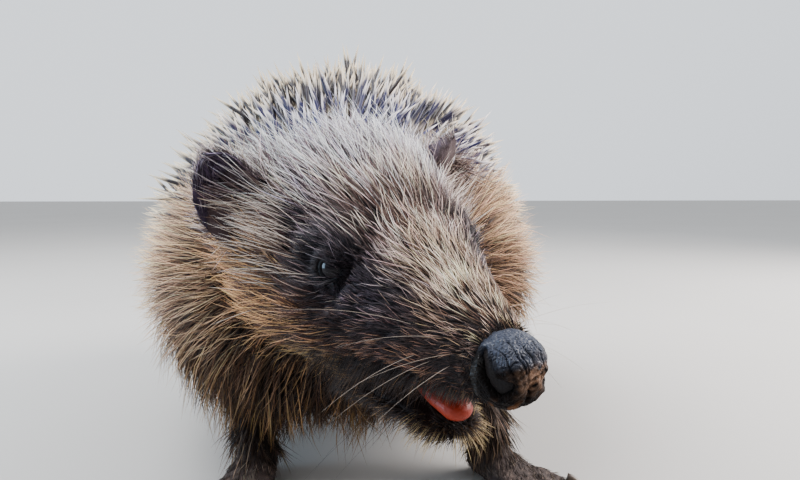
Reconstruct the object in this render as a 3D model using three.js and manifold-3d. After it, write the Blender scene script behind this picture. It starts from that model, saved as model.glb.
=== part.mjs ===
// A European hedgehog, life size, standing on four feet with its head turned to its left and its mouth a little open.
// Units are millimetres. +Z is up, the nose points towards -Y, and +X is the animal's left.
// Every size is that of the outer coat: spine tips on the back, hair tips elsewhere.
// The animal is lofted from rings, then parted by thin cuts into head, neck, trunk, legs, feet and so on.
import * as THREE from "three";
import { mergeVertices } from "three/addons/utils/BufferGeometryUtils.js";
import Module from "manifold-3d";

const wasm = await Module();
wasm.setup();
const { Manifold, Mesh: SolidMesh } = wasm;

// ---------------------------------------------------------------- driving dimensions

const GAP = 0.3; // clear space left by every cut between neighbours
const FAR = 400; // half the side of the boxes that stand for half-spaces

// The body along Y: midline x, half-width, and the heights of the back, of the widest point and of the belly.
const TRUNK = [
  { at: -62, shift: -1, half: 22.5, top: 81, wide: 55, low: 31 },
  { at: -50, shift: -2.5, half: 35, top: 89, wide: 49, low: 18 },
  { at: -34, shift: 0, half: 47.5, top: 96.5, wide: 45, low: 12.5 },
  { at: -10, shift: 2, half: 55, top: 103.5, wide: 43, low: 11 },
  { at: 15, shift: 2.5, half: 57.5, top: 107.5, wide: 43, low: 11 },
  { at: 40, shift: 2.8, half: 57, top: 107.5, wide: 43, low: 12 },
  { at: 65, shift: 3.4, half: 52, top: 101, wide: 43.5, low: 14.5 },
  { at: 84, shift: 4.2, half: 42, top: 90, wide: 44.5, low: 20.5 },
  { at: 95, shift: 4.8, half: 31.5, top: 79, wide: 45, low: 27 },
  { at: 101, shift: 5.2, half: 22, top: 69, wide: 45.5, low: 32.5 },
];
// How far the rounded ends reach past the first and last rings, and how steeply they turn in at once (0 to 90).
const TRUNK_ENDS = [{ reach: 10, turn: 20 }, { reach: 6, turn: 60 }];
const SKIRT_STEP = 3; // the spiny coat overhangs the hair of the belly by this much
const BACK_POWER = 1.9; // 2 is an ellipse, more is squarer
const BELLY_POWER = 2.5;
const NECK_CUT_Y = -34; // where the neck and shoulders are parted from the trunk

// The head has its own frame: between the eyes, nose towards -Y, top of the skull towards +Z.
const HEAD_PLACE = new THREE.Vector3(11.2, -80, 59.2);
const HEAD_YAW = 24; // degrees, to the animal's left
const HEAD_PITCH = 7; // degrees, nose down
const HEAD_ROLL = 5; // degrees, right eye lower
const HEAD = [
  { at: 36, half: 21, top: 16, wide: -4, low: -24 },
  { at: 26, half: 25.3, top: 19.8, wide: -4.5, low: -28 },
  { at: 14, half: 23.6, top: 18, wide: -5, low: -28.4 },
  { at: 6, half: 20.6, top: 14.2, wide: -5.5, low: -26.5 },
  { at: -1, half: 17.6, top: 10, wide: -6.2, low: -22.6 },
  { at: -6, half: 15.2, top: 6.9, wide: -7, low: -20.4 },
  { at: -12, half: 12.4, top: 3.6, wide: -8.2, low: -19.2 },
  { at: -19, half: 9.6, top: 0, wide: -9.6, low: -18 },
  { at: -25, half: 7.4, top: -3, wide: -10.7, low: -17.2 },
  { at: -28.5, half: 6, top: -5, wide: -11.2, low: -16.8 },
];
const HEAD_ENDS = [{ reach: 1.2, turn: 0 }, { reach: 6, turn: 20 }];
const JAW = [
  { at: 4, half: 12, top: -21.5, wide: -25.5, low: -29.6 },
  { at: -3, half: 9.8, top: -21.6, wide: -25.3, low: -29.6 },
  { at: -11, half: 6.8, top: -23.4, wide: -26, low: -29.4 },
  { at: -16.5, half: 4.8, top: -24.9, wide: -26.6, low: -29 },
];
const JAW_ENDS = [{ reach: 3.2, turn: 15 }, { reach: 3, turn: 0 }];
const TONGUE = [
  { at: -5, half: 4, top: -19.2, wide: -20.2, low: -21.2 },
  { at: -11, half: 4.2, top: -19.2, wide: -21, low: -22.9 },
  { at: -16, half: 4, top: -19.7, wide: -22, low: -24.1 },
  { at: -19, half: 3.3, top: -20.7, wide: -22.7, low: -24.6 },
];
const TONGUE_ENDS = [{ reach: 2.2, turn: 15 }, { reach: 1, turn: 0 }];

const EYE_RADIUS = 3.15;
const EYE = new THREE.Vector3(12.4, -0.6, -1.0); // left eye's centre, in the head's frame
const ORBIT = { centre: new THREE.Vector3(18.4, -5.4, -1.2), radii: [4.8, 5.6, 4.6] };

const NOSE = [
  { at: -25.4, half: 5, top: -5.6, wide: -10.8, low: -16.4 },
  { at: -29, half: 5.8, top: -4.9, wide: -10.9, low: -17.4 },
  { at: -33.2, half: 4.9, top: -6.2, wide: -11, low: -16 },
];
const NOSE_ENDS = [{ reach: 2.2, turn: 15 }, { reach: 0.6, turn: 0 }];
const NOSTRIL = { centre: new THREE.Vector3(4.4, -34.2, -10.6), radii: [1.2, 2.2, 1.8] };
const PHILTRUM = { centre: new THREE.Vector3(0, -36, -13.4), radii: [0.5, 1.6, 3.4] };

const EAR = {
  base: new THREE.Vector3(25.4, 21.5, 8.4), // left ear's middle, in the head's frame
  radii: [7.4, 5, 10.2], // half-width, depth of the cup and half-height
  wall: 1.1,
  mouth: -0.6, // the cup is cut open this far in front of its middle
  turn: 40, // degrees that its opening turns from straight ahead to the side
  lean: 12, // degrees that its top leans out
};
const EAR_HOLLOW = [9.5, 11, 12]; // half-sizes of the dip in the shoulder before each ear

const FORE = {
  hip: { left: [27, -27, 38], right: [-23, -25, 38] },
  wrist: { left: [36, -42, 11.4], right: [-20.5, -38, 11.4] },
  radii: [11, 6.2],
  heading: { left: 30, right: -7 }, // degrees that the toes turn to +X
  palm: { length: 13, heel: 4.6, width: 7.2, rise: 10.2, toe: 5.4 },
  toes: [
    { angle: -42, length: 6.2 },
    { angle: -20, length: 8.2 },
    { angle: 0, length: 9.0 },
    { angle: 19, length: 8.4 },
    { angle: 42, length: 6.4 },
  ],
  claw: 5.6,
};
const HIND = {
  hip: { left: [29, 50, 38], right: [-28, 54, 38] },
  wrist: { left: [30, 67, 12], right: [-29, 71, 12] },
  radii: [14, 6.6],
  heading: { left: 10, right: -10 },
  palm: { length: 25, heel: 4.8, width: 7.0, rise: 10.6, toe: 5.2 },
  toes: [
    { angle: -30, length: 5.4 },
    { angle: -14, length: 7.8 },
    { angle: 0, length: 8.8 },
    { angle: 14, length: 8.2 },
    { angle: 31, length: 5.8 },
  ],
  claw: 6.2,
};
const FOOT_ENDS = [{ reach: 1.5, turn: 0 }, { reach: 3, turn: 0 }];
const TOE_RADII = [2.25, 1.75];
const TOE_HEIGHT = 2.3; // centre of a toe above the floor
const CLAW_RADII = [1.0, 0.32];

const TAIL = { path: [[3.4, 84, 36], [4.2, 97, 25], [4.8, 104, 15]], radii: [5, 3.2, 1.2] };

// How many sides the rings have, and how many rings round off an end.
const SIDES = { trunk: 28, head: 24, jaw: 12, nose: 14, tongue: 10, limb: 10, toe: 6, claw: 4 };
const CAP_RINGS = 3;

const COLOURS = {
  spines: 0x8a7a68,
  face: 0x7d6f63,
  belly: 0x8f7a60,
  skin: 0x4a403c,
  nose: 0x23242a,
  eye: 0x08080c,
  tongue: 0xc0503a,
  claw: 0x5a4a3c,
};

// ---------------------------------------------------------------- shape helpers

const radians = THREE.MathUtils.degToRad;

// A closed solid over rings of equal count that turn clockwise as seen from the first ring's end.
// Each end is closed by a fan on its ring's middle.
function loft(rings) {
  const sides = rings[0].length;
  const points = rings.flat();
  const middle = (ring) =>
    ring.reduce((sum, p) => sum.add(p), new THREE.Vector3()).divideScalar(sides);
  points.push(middle(rings[0]), middle(rings[rings.length - 1]));
  const first = points.length - 2;
  const last = points.length - 1;
  const triangles = [];
  for (let r = 0; r < rings.length; r++) {
    for (let s = 0; s < sides; s++) {
      const next = (s + 1) % sides;
      const a = r * sides + s;
      const b = r * sides + next;
      if (r === 0) triangles.push(first, a, b);
      if (r === rings.length - 1) triangles.push(last, b, a);
      else triangles.push(a, b + sides, b, a, a + sides, b + sides);
    }
  }
  const geometry = new THREE.BufferGeometry().setFromPoints(points);
  geometry.setIndex(triangles);
  return geometry;
}

// Smooth values of a list of stations at any place along it.
function along(stations, keys) {
  const rising = [...stations].sort((a, b) => a.at - b.at);
  const places = new Float32Array(rising.map((s) => s.at));
  const values = new Float32Array(rising.flatMap((s) => keys.map((k) => s[k] ?? 0)));
  const spline = new THREE.CubicInterpolant(places, values, keys.length);
  return (at) => {
    const row = spline.evaluate(at);
    return Object.fromEntries(keys.map((k, i) => [k, row[i]]));
  };
}

// Signed power, for the rings' superellipses.
const bend = (value, power) => Math.sign(value) * Math.abs(value) ** (2 / power);

// One ring of a body that runs along Y. `scale` shrinks it round its widest height, for rounded ends.
function ring(y, size, sides, options, scale, grow) {
  const points = [];
  for (let s = 0; s < sides; s++) {
    const angle = (2 * Math.PI * s) / sides;
    const up = Math.sin(angle) >= 0;
    const power = up ? options.back : options.belly;
    const reach = (up ? size.top - size.wide : size.wide - size.low) * scale + grow;
    const step = options.step * THREE.MathUtils.smoothstep(-Math.sin(angle), 0.05, 0.3) * scale;
    const half = size.half * scale + grow - step;
    points.push(
      new THREE.Vector3(
        size.shift + half * bend(Math.cos(angle), power),
        y,
        size.wide + reach * bend(Math.sin(angle), power),
      ),
    );
  }
  return points;
}

// A body along Y through its stations, with rounded ends: the one towards -Y first.
function bodyAlongY(stations, ends, sides, rings, grow = 0, options = {}) {
  const shape = { back: 2, belly: 2, step: 0, ...options };
  const at = along(stations, ["half", "top", "wide", "low", "shift"]);
  const ys = stations.map((s) => s.at);
  const low = Math.min(...ys);
  const high = Math.max(...ys);
  const list = [];
  const cap = (y, { reach, turn }, side) => {
    const start = Math.sin(radians(turn));
    for (let i = 1; i <= CAP_RINGS; i++) {
      const angle = radians(turn + ((90 - turn) * i) / (CAP_RINGS + 0.35));
      const push = ((reach + grow) * (Math.sin(angle) - start)) / (1 - start);
      list.push([y + side * push, y, Math.cos(angle) / Math.cos(radians(turn))]);
    }
  };
  cap(low, ends[0], -1);
  list.reverse();
  for (let i = 0; i < rings; i++) {
    const y = low + ((high - low) * i) / (rings - 1);
    list.push([y, y, 1]);
  }
  cap(high, ends[1], 1);
  return loft(list.map(([y, from, scale]) => ring(y, at(from), sides, shape, scale, grow)));
}

// A round limb along a path, with its radius eased from point to point and both ends rounded.
function limb(path, radii, sides, rings, grow = 0, caps = [60, 30]) {
  const curve = new THREE.CatmullRomCurve3(path.map((p) => new THREE.Vector3(...p)));
  const radiusAt = (t) => {
    const place = t * (radii.length - 1);
    const i = Math.min(Math.floor(place), radii.length - 2);
    return THREE.MathUtils.lerp(radii[i], radii[i + 1], place - i) + grow;
  };
  const list = [];
  const addRing = (t, push, shrink) => {
    const forward = curve.getTangent(t);
    const side = new THREE.Vector3(1, 0, 0).cross(forward);
    if (side.length() < 0.1) side.set(0, 0, 1).cross(forward);
    side.normalize();
    const other = forward.clone().cross(side);
    const radius = radiusAt(t);
    const centre = curve.getPoint(t).addScaledVector(forward, push * radius);
    const points = [];
    for (let s = 0; s < sides; s++) {
      const angle = (-2 * Math.PI * s) / sides;
      points.push(
        centre
          .clone()
          .addScaledVector(side, Math.cos(angle) * radius * shrink)
          .addScaledVector(other, Math.sin(angle) * radius * shrink),
      );
    }
    list.push(points);
  };
  for (const angle of caps) {
    addRing(0, -Math.sin(radians(angle)), Math.cos(radians(angle)));
  }
  for (let i = 0; i < rings; i++) addRing(i / (rings - 1), 0, 1);
  for (const angle of [...caps].reverse()) {
    addRing(1, Math.sin(radians(angle)), Math.cos(radians(angle)));
  }
  return loft(list);
}

function ellipsoid({ centre, radii }, grow = 0, detail = [20, 14]) {
  const geometry = new THREE.SphereGeometry(1, ...detail);
  geometry.scale(radii[0] + grow, radii[1] + grow, radii[2] + grow);
  return geometry.translate(centre.x, centre.y, centre.z);
}

// The same thing on the animal's other side.
const mirrored = ({ centre, radii }, side) => ({
  centre: new THREE.Vector3(centre.x * side, centre.y, centre.z),
  radii,
});

// ---------------------------------------------------------------- solids

function solid(geometry) {
  const bare = new THREE.BufferGeometry();
  bare.setAttribute("position", geometry.getAttribute("position"));
  bare.setIndex(geometry.index);
  const merged = mergeVertices(bare, 1e-4);
  const made = new Manifold(
    new SolidMesh({
      numProp: 3,
      vertProperties: new Float32Array(merged.attributes.position.array),
      triVerts: new Uint32Array(merged.index.array),
    }),
  );
  if (made.volume() < 0) throw new Error("a loft faces inwards");
  return made;
}

function geometryOf(made) {
  const mesh = made.getMesh();
  const points = new Float32Array(mesh.numVert * 3);
  for (let i = 0; i < mesh.numVert; i++) {
    points.set(mesh.vertProperties.subarray(i * mesh.numProp, i * mesh.numProp + 3), i * 3);
  }
  const geometry = new THREE.BufferGeometry();
  geometry.setAttribute("position", new THREE.BufferAttribute(points, 3));
  geometry.setIndex(new THREE.BufferAttribute(mesh.triVerts, 1));
  geometry.computeVertexNormals();
  return geometry;
}

// Half of space, as a big box whose one face lies at `at` on an axis ("x", "y" or "z"), on its `side`.
function halfSpace(axis, at, side) {
  const box = new THREE.BoxGeometry(2 * FAR, 2 * FAR, 2 * FAR);
  const move = new THREE.Vector3();
  move[axis] = at + side * FAR;
  return solid(box.translate(move.x, move.y, move.z));
}

const moved = (made, matrix) => made.transform([...matrix.elements]);

const aboveFloor = halfSpace("z", 0, 1);

// ---------------------------------------------------------------- head, jaw, nose, ears, eyes

const headTurn = new THREE.Euler(
  radians(HEAD_PITCH),
  radians(-HEAD_ROLL),
  radians(HEAD_YAW),
  "ZXY",
);
const headMatrix = new THREE.Matrix4().compose(
  HEAD_PLACE,
  new THREE.Quaternion().setFromEuler(headTurn),
  new THREE.Vector3(1, 1, 1),
);
const headBody = (grow) =>
  solid(bodyAlongY(HEAD, HEAD_ENDS, SIDES.head, 12, grow, { back: 2.1, belly: 2.2 }));
const jawBody = (grow) =>
  solid(bodyAlongY(JAW, JAW_ENDS, SIDES.jaw, 5, grow, { back: 2.4, belly: 2.2 }));

const noseBody = (grow) =>
  solid(bodyAlongY(NOSE, NOSE_ENDS, SIDES.nose, 5, grow, { back: 2.3, belly: 2.3 }));

function trunkBody(grow) {
  const shape = { back: BACK_POWER, belly: BELLY_POWER, step: SKIRT_STEP };
  return solid(bodyAlongY(TRUNK, TRUNK_ENDS, SIDES.trunk, 17, grow, shape));
}

const trunkWhole = trunkBody(0);
const trunkGrown = trunkBody(GAP);
const headGrown = headBody(GAP);
const headGrownInPlace = moved(headGrown, headMatrix);
const bodyInHeadFrame = moved(trunkGrown, headMatrix.clone().invert());

function head() {
  let made = headBody(0).subtract(noseBody(GAP));
  for (const side of [1, -1]) {
    const socket = { centre: EYE, radii: [EYE_RADIUS, EYE_RADIUS, EYE_RADIUS] };
    made = made
      .subtract(solid(ellipsoid(mirrored(ORBIT, side), 0, [12, 8])))
      .subtract(solid(ellipsoid(mirrored(socket, side), GAP, [10, 7])));
  }
  return made;
}

function nose() {
  let made = noseBody(0).subtract(solid(ellipsoid(PHILTRUM, 0, [8, 6])));
  for (const side of [1, -1]) {
    made = made.subtract(solid(ellipsoid(mirrored(NOSTRIL, side), 0, [8, 6])));
  }
  return made;
}

const jaw = () => jawBody(0).subtract(headGrown).subtract(bodyInHeadFrame);

const tongue = () =>
  solid(bodyAlongY(TONGUE, TONGUE_ENDS, SIDES.tongue, 4))
    .subtract(headGrown)
    .subtract(jawBody(GAP));

const earMatrix = (side) =>
  new THREE.Matrix4().compose(
    new THREE.Vector3(EAR.base.x * side, EAR.base.y, EAR.base.z),
    new THREE.Quaternion().setFromEuler(
      new THREE.Euler(0, radians(EAR.lean * side), radians(EAR.turn * side), "ZXY"),
    ),
    new THREE.Vector3(1, 1, 1),
  );

// A thin cup that faces forward and out, its foot cut to the skull.
function ear(side) {
  const [width, depth, height] = EAR.radii;
  const outer = { centre: new THREE.Vector3(), radii: EAR.radii };
  const hollow = {
    centre: new THREE.Vector3(0, -EAR.wall, 0),
    radii: [width - EAR.wall, depth, height - EAR.wall],
  };
  const cup = solid(ellipsoid(outer, 0, [14, 10]))
    .intersect(halfSpace("y", EAR.mouth, 1))
    .subtract(solid(ellipsoid(hollow, 0, [14, 10])));
  return moved(cup, earMatrix(side)).subtract(headGrown);
}

// The room an ear and its opening take out of the shoulder.
function earRoom(side) {
  const outer = { centre: new THREE.Vector3(), radii: EAR.radii };
  const dip = { centre: new THREE.Vector3(0, -EAR.radii[1], 0), radii: EAR_HOLLOW };
  return moved(
    solid(ellipsoid(outer, GAP, [14, 10])).add(solid(ellipsoid(dip, 0, [12, 8]))),
    headMatrix.clone().multiply(earMatrix(side)),
  );
}

// ---------------------------------------------------------------- neck, trunk and tail

const neck = () =>
  trunkWhole
    .intersect(halfSpace("y", NECK_CUT_Y - GAP / 2, -1))
    .subtract(headGrownInPlace)
    .subtract(earRoom(1))
    .subtract(earRoom(-1));

const trunk = () => trunkWhole.intersect(halfSpace("y", NECK_CUT_Y + GAP / 2, 1));

const tail = () => solid(limb(TAIL.path, TAIL.radii, SIDES.limb, 4)).subtract(trunkGrown);

// ---------------------------------------------------------------- legs, feet and claws

const legBody = (plan, side, grow) =>
  solid(limb([plan.hip[side], plan.wrist[side]], plan.radii, SIDES.limb, 3, grow));

const leg = (plan, side) => legBody(plan, side, 0).subtract(trunkGrown);

// A foot's own frame: on the floor under the wrist, toes towards -Y.
function footMatrix(plan, side) {
  const [x, y] = plan.wrist[side];
  return new THREE.Matrix4()
    .makeRotationZ(radians(plan.heading[side]))
    .setPosition(x, y, 0);
}

function toePath(plan, toe, side) {
  const angle = radians(toe.angle * (side === "left" ? 1 : -1));
  const spread = plan.palm.width * 0.62 * Math.sin(angle) * 1.7;
  const start = new THREE.Vector3(spread, -plan.palm.length * 0.86, TOE_HEIGHT + 0.9);
  const tip = start
    .clone()
    .add(new THREE.Vector3(Math.sin(angle * 0.75), -Math.cos(angle * 0.75), 0)
      .multiplyScalar(toe.length));
  tip.z = TOE_HEIGHT - 0.4;
  return [start, tip];
}

function footBody(plan, side, grow) {
  const { length, heel, width, rise, toe } = plan.palm;
  const sole = -1.2; // the sole is cut flat at the floor afterwards
  const stations = [
    { at: 3, half: heel, top: rise, wide: rise * 0.45, low: sole },
    { at: -length * 0.4, half: (heel + width) / 2, top: rise * 0.82, wide: rise * 0.35, low: sole },
    { at: -length * 0.85, half: width, top: toe, wide: toe * 0.4, low: sole },
    { at: -length, half: width * 0.9, top: toe * 0.8, wide: toe * 0.35, low: sole },
  ];
  let made = solid(bodyAlongY(stations, FOOT_ENDS, SIDES.limb, 4, grow));
  for (const each of plan.toes) {
    const [start, tip] = toePath(plan, each, side);
    const points = [start.toArray(), tip.toArray()];
    made = made.add(solid(limb(points, TOE_RADII, SIDES.toe, 2, grow, [45])));
  }
  return moved(made, footMatrix(plan, side));
}

const foot = (plan, side) =>
  footBody(plan, side, 0).subtract(legBody(plan, side, GAP)).intersect(aboveFloor);

function claw(plan, side, toe) {
  const [start, tip] = toePath(plan, toe, side);
  const forward = tip.clone().sub(start).setZ(0).normalize();
  const place = (reach, height) => tip.clone().addScaledVector(forward, reach).setZ(height);
  const path = [
    place(0, TOE_HEIGHT + 0.2),
    place(plan.claw * 0.55, TOE_HEIGHT + 0.3),
    place(plan.claw, 1.0),
  ];
  const points = path.map((p) => p.toArray());
  const made = solid(limb(points, CLAW_RADII, SIDES.claw, 3, 0, [50]));
  return moved(made, footMatrix(plan, side)).subtract(footBody(plan, side, GAP));
}

// ---------------------------------------------------------------- the animal

function material(colour, roughness) {
  return new THREE.MeshStandardMaterial({ color: colour, roughness, metalness: 0 });
}
const MATERIALS = {
  spines: material(COLOURS.spines, 0.6),
  face: material(COLOURS.face, 0.8),
  belly: material(COLOURS.belly, 0.85),
  skin: material(COLOURS.skin, 0.6),
  nose: material(COLOURS.nose, 0.3),
  eye: material(COLOURS.eye, 0.05),
  tongue: material(COLOURS.tongue, 0.35),
  claw: material(COLOURS.claw, 0.4),
};

function add(parent, name, made, finish) {
  const mesh = new THREE.Mesh(geometryOf(made), MATERIALS[finish]);
  mesh.name = name;
  parent.add(mesh);
}

const animal = new THREE.Group();

const headGroup = new THREE.Group();
headGroup.position.copy(HEAD_PLACE);
headGroup.setRotationFromEuler(headTurn);
animal.add(headGroup);
add(headGroup, "head", head(), "face");
add(headGroup, "nose", nose(), "nose");
add(headGroup, "lower_jaw", jaw(), "face");
add(headGroup, "tongue", tongue(), "tongue");
for (const [name, side] of [["left", 1], ["right", -1]]) {
  add(headGroup, `ear_${name}`, ear(side), "skin");
  const eye = new THREE.Mesh(new THREE.SphereGeometry(EYE_RADIUS, 14, 10), MATERIALS.eye);
  eye.name = `eye_${name}`;
  eye.position.set(EYE.x * side, EYE.y, EYE.z);
  headGroup.add(eye);
}

add(animal, "neck", neck(), "spines");
add(animal, "trunk", trunk(), "spines");
add(animal, "tail", tail(), "skin");

for (const side of ["left", "right"]) {
  for (const [where, plan] of [["fore", FORE], ["hind", HIND]]) {
    add(animal, `${where}leg_${side}`, leg(plan, side), "belly");
    add(animal, `${where}foot_${side}`, foot(plan, side), "skin");
    plan.toes.forEach((toe, i) => {
      add(animal, `claw_${where}_${side}_${i + 1}`, claw(plan, side, toe), "claw");
    });
  }
}

// The origin is on the floor, under the middle of the animal's box.
const box = new THREE.Box3().setFromObject(animal, true);
animal.position.set(-(box.min.x + box.max.x) / 2, -(box.min.y + box.max.y) / 2, 0);

const model = new THREE.Group();
model.add(animal);
export default model;
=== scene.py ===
"""A life-size European hedgehog that stands with its head turned to its left.

Shapes are worked out in millimetres in the body's frame, which is the row's frame moved along the floor:
nose towards -Y, +X the animal's left, +Z up. The head has a frame of its own, between the eyes.
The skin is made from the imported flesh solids. They reach out to the tips of the coat, and the skin lies
inside them by the coat's depth. Spines and hairs are then grown on it as closed, tapered solids.
Below, `h` is points in the head's frame, and `s` is places along a hair: 0 at its root, 1 at its tip.
"""

import math

import bmesh
import bpy
import numpy as np
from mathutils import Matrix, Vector
from mathutils.bvhtree import BVHTree
from mathutils.kdtree import KDTree


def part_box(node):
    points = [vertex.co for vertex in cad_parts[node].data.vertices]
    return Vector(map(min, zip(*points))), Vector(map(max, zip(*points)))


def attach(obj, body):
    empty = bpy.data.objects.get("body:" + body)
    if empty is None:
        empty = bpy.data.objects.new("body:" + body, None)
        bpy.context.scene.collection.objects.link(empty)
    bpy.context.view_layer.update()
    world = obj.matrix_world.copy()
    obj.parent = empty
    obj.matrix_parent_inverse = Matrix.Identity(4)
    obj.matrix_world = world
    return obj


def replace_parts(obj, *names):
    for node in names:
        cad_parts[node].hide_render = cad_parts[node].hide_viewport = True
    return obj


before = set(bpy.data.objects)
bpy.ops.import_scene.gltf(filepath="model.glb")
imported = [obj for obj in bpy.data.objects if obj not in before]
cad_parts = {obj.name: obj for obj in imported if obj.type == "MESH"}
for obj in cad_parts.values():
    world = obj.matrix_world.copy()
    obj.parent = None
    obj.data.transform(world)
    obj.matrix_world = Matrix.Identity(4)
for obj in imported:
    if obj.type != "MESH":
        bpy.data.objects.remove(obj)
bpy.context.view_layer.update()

# ---------------------------------------------------------------- sizes, in mm and degrees

HEAD_PLACE = np.array([11.2, -80.0, 59.2])
HEAD_YAW, HEAD_PITCH, HEAD_ROLL = 24.0, 7.0, 5.0
EYE = np.array([12.8, 0.1, -1.1])  # the left eye's centre, in the head's frame
EYE_RADIUS = 3.1
EYE_LOOK = np.array([0.80, -0.59, 0.06])  # the way the left eye faces
EYE_OPENING = (1.65, 1.55)  # half-width and half-height between the lids
LID = 0.27  # how far the lids stand out over the eyeball
NOSE_TIP = np.array([0.0, -37.0, -9.5])
EAR_MIDDLE = np.array([25.4, 21.5, 8.4])  # the left ear's, in the head's frame
EAR_HALF = (7.4, 10.2)  # its half-width and half-height
EAR_ACROSS = np.array([0.77, 0.64, 0.0])
EAR_UP = np.array([0.2, 0.0, 0.98])
EAR_OPENING = np.array([0.64, -0.77, 0.0])  # the way it faces
SKIRT_LINE = ([-62, -34, 0, 60, 95], [72, 64, 46, 41, 45])  # lower edge of the spines: Y, then Z
CROWN_LINE = ([-12, 0, 12, 20], [42, 31, 21, 19])  # front edge of the spines: head's z, then head's y

VOXEL = 0.85  # of the skin's first form
GROW = 0.3  # closes the cuts between the solids
FLOOR_GAP = 0.1
SPINE_LENGTH = 21.0
SPINE_RADIUS = 0.46
SPINE_SPACING = 1.55
HAIR_END = -1.0  # the face's hair ends here, measured back from the front edge of the spines
HAIRS_PER_LOCK = 8
NOSE_VOXEL = 0.17
TONGUE_VOXEL = 0.35
MOST_TRIANGLES = 190_000  # in one piece of the coat
UV_PATCH = 0.003  # one hair's part of the unwrap

# The camera, placed as the photograph's was, in the body's frame.
CAMERA_PLACE = np.array([0.0, -195.0, 70.0])
CAMERA_TURN, CAMERA_TILT = 5.27, -4.4
CAMERA_LENS = 29.25

FLOOR_SIZE = 8.0  # in metres
BRIGHT_SIDE = (-0.12, 0.62, 0.77)  # of the sky
# Each light's place and target in the row's frame and its size, all in metres, then its watts and colour.
LIGHTS = {
    "sky": ((-0.35, 0.1, 0.7), (0, -0.05, 0.05), 0.5, 11.0, (0.95, 0.97, 1.0)),
    "far_side": ((0.55, 0.06, 0.34), (0.03, -0.04, 0.06), 0.4, 11.0, (1.0, 0.95, 0.93)),
    "eye_light": ((-0.545, -0.01, 0.075), (0, -0.08, 0.06), 0.24, 3.2, (0.5, 0.75, 1.0)),
}


# ---------------------------------------------------------------- frames and small maths

def turn(axis, degrees):
    c, s = math.cos(math.radians(degrees)), math.sin(math.radians(degrees))
    return np.array({
        "x": [[1, 0, 0], [0, c, -s], [0, s, c]],
        "y": [[c, 0, s], [0, 1, 0], [-s, 0, c]],
        "z": [[c, -s, 0], [s, c, 0], [0, 0, 1]],
    }[axis])


HEAD_TURN = turn("z", HEAD_YAW) @ turn("x", HEAD_PITCH) @ turn("y", -HEAD_ROLL)


def to_head(points):
    return (points - HEAD_PLACE) @ HEAD_TURN


def fold(h):
    """The head's two sides laid on each other."""
    return np.concatenate([np.abs(h[:, :1]), h[:, 1:]], axis=1)


def from_head(points):
    return np.asarray(points) @ HEAD_TURN.T + HEAD_PLACE


def box_middle(name):
    low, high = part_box(name)
    return (np.array(low) + np.array(high)) * 500


PACKED_EYES = (0.0, -0.6, -1.0)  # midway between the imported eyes, in the head's frame
ROW_SHIFT = (box_middle("eye_left") + box_middle("eye_right")) / 2 - from_head(PACKED_EYES)


def to_row(points):
    return (points + ROW_SHIFT) * 0.001


def from_row(points):
    return points * 1000 - ROW_SHIFT


def smoothstep(x, low, high):
    """0 below `low` and 1 above `high`, with a smooth rise between."""
    t = np.clip((x - low) / (high - low), 0, 1)
    return t * t * (3 - 2 * t)


def unit(vectors):
    return vectors / np.maximum(np.linalg.norm(vectors, axis=-1, keepdims=True), 1e-9)


def mix(a, b, share):
    return a + (b - a) * share


def columns(x, y, z):
    return np.stack([x, y, z], axis=1)


def mirrored(vectors, side):
    """The left side's vectors on the side that each is wanted on: 1 for left, -1 for right."""
    return vectors * columns(side, np.ones(len(side)), np.ones(len(side)))


def waves(points, size, seed, count=6):
    """Smooth noise, mostly within -1 to 1, with bumps about `size` mm apart."""
    rng = np.random.default_rng(seed)
    total = np.zeros(len(points))
    for _ in range(count):
        step = unit(rng.normal(size=3)) * 2 * math.pi / (size * rng.uniform(0.7, 1.6))
        total += np.sin(points @ step + rng.uniform(0, 2 * math.pi))
    return total / math.sqrt(count)


def linear(red, green, blue):
    """Scene-linear colour of 8-bit screen values."""
    c = np.array([red, green, blue]) / 255
    return np.where(c <= 0.04045, c / 12.92, ((c + 0.055) / 1.055) ** 2.4)


def tint(colours, screen_colour, share):
    """Mixes a share, one per point, of an 8-bit screen colour into colours."""
    return mix(colours, linear(*screen_colour), share[:, None])


# ---------------------------------------------------------------- meshes as arrays

def read_mesh(mesh):
    points = np.empty(len(mesh.vertices) * 3, np.float32)
    mesh.vertices.foreach_get("co", points)
    mesh.calc_loop_triangles()
    triangles = np.empty(len(mesh.loop_triangles) * 3, np.int32)
    mesh.loop_triangles.foreach_get("vertices", triangles)
    return points.reshape(-1, 3).astype(float), triangles.reshape(-1, 3)


def vertex_normals(points, triangles):
    """Unit normals, each the mean of its triangles' weighed by their areas."""
    a, b, c = (points[triangles[:, i]] for i in range(3))
    across = np.cross(b - a, c - a)
    normals = np.stack([
        sum(np.bincount(triangles[:, i], across[:, k], len(points)) for i in range(3))
        for k in range(3)
    ], axis=1)
    return unit(normals)


def node_arrays(name):
    """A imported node's points and triangles, with its split vertices merged."""
    points, triangles = read_mesh(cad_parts[name].data)
    points = from_row(points)
    keys = np.round(points / 0.002).astype(np.int64)
    _, first, merged = np.unique(keys, axis=0, return_index=True, return_inverse=True)
    triangles = merged.reshape(-1)[triangles]
    whole = (triangles[:, 0] != triangles[:, 1]) & (triangles[:, 1] != triangles[:, 2])
    whole &= triangles[:, 0] != triangles[:, 2]
    return points[first], triangles[whole]


def smoothed(values, edges, steps, share=1.0):
    """Values per vertex, each moved `share` of the way to its neighbours' mean, `steps` times."""
    values = values.copy()
    count = len(values)
    ends = np.concatenate([edges[:, 0], edges[:, 1]])
    others = np.concatenate([edges[:, 1], edges[:, 0]])
    number = np.maximum(np.bincount(ends, minlength=count), 1)[:, None]
    for _ in range(steps):
        flat = values.reshape(count, -1)
        mean = np.stack([np.bincount(ends, flat[others, k], count) for k in range(flat.shape[1])], axis=1)
        values = mix(flat, mean / number, share).reshape(values.shape)
    return values


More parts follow.
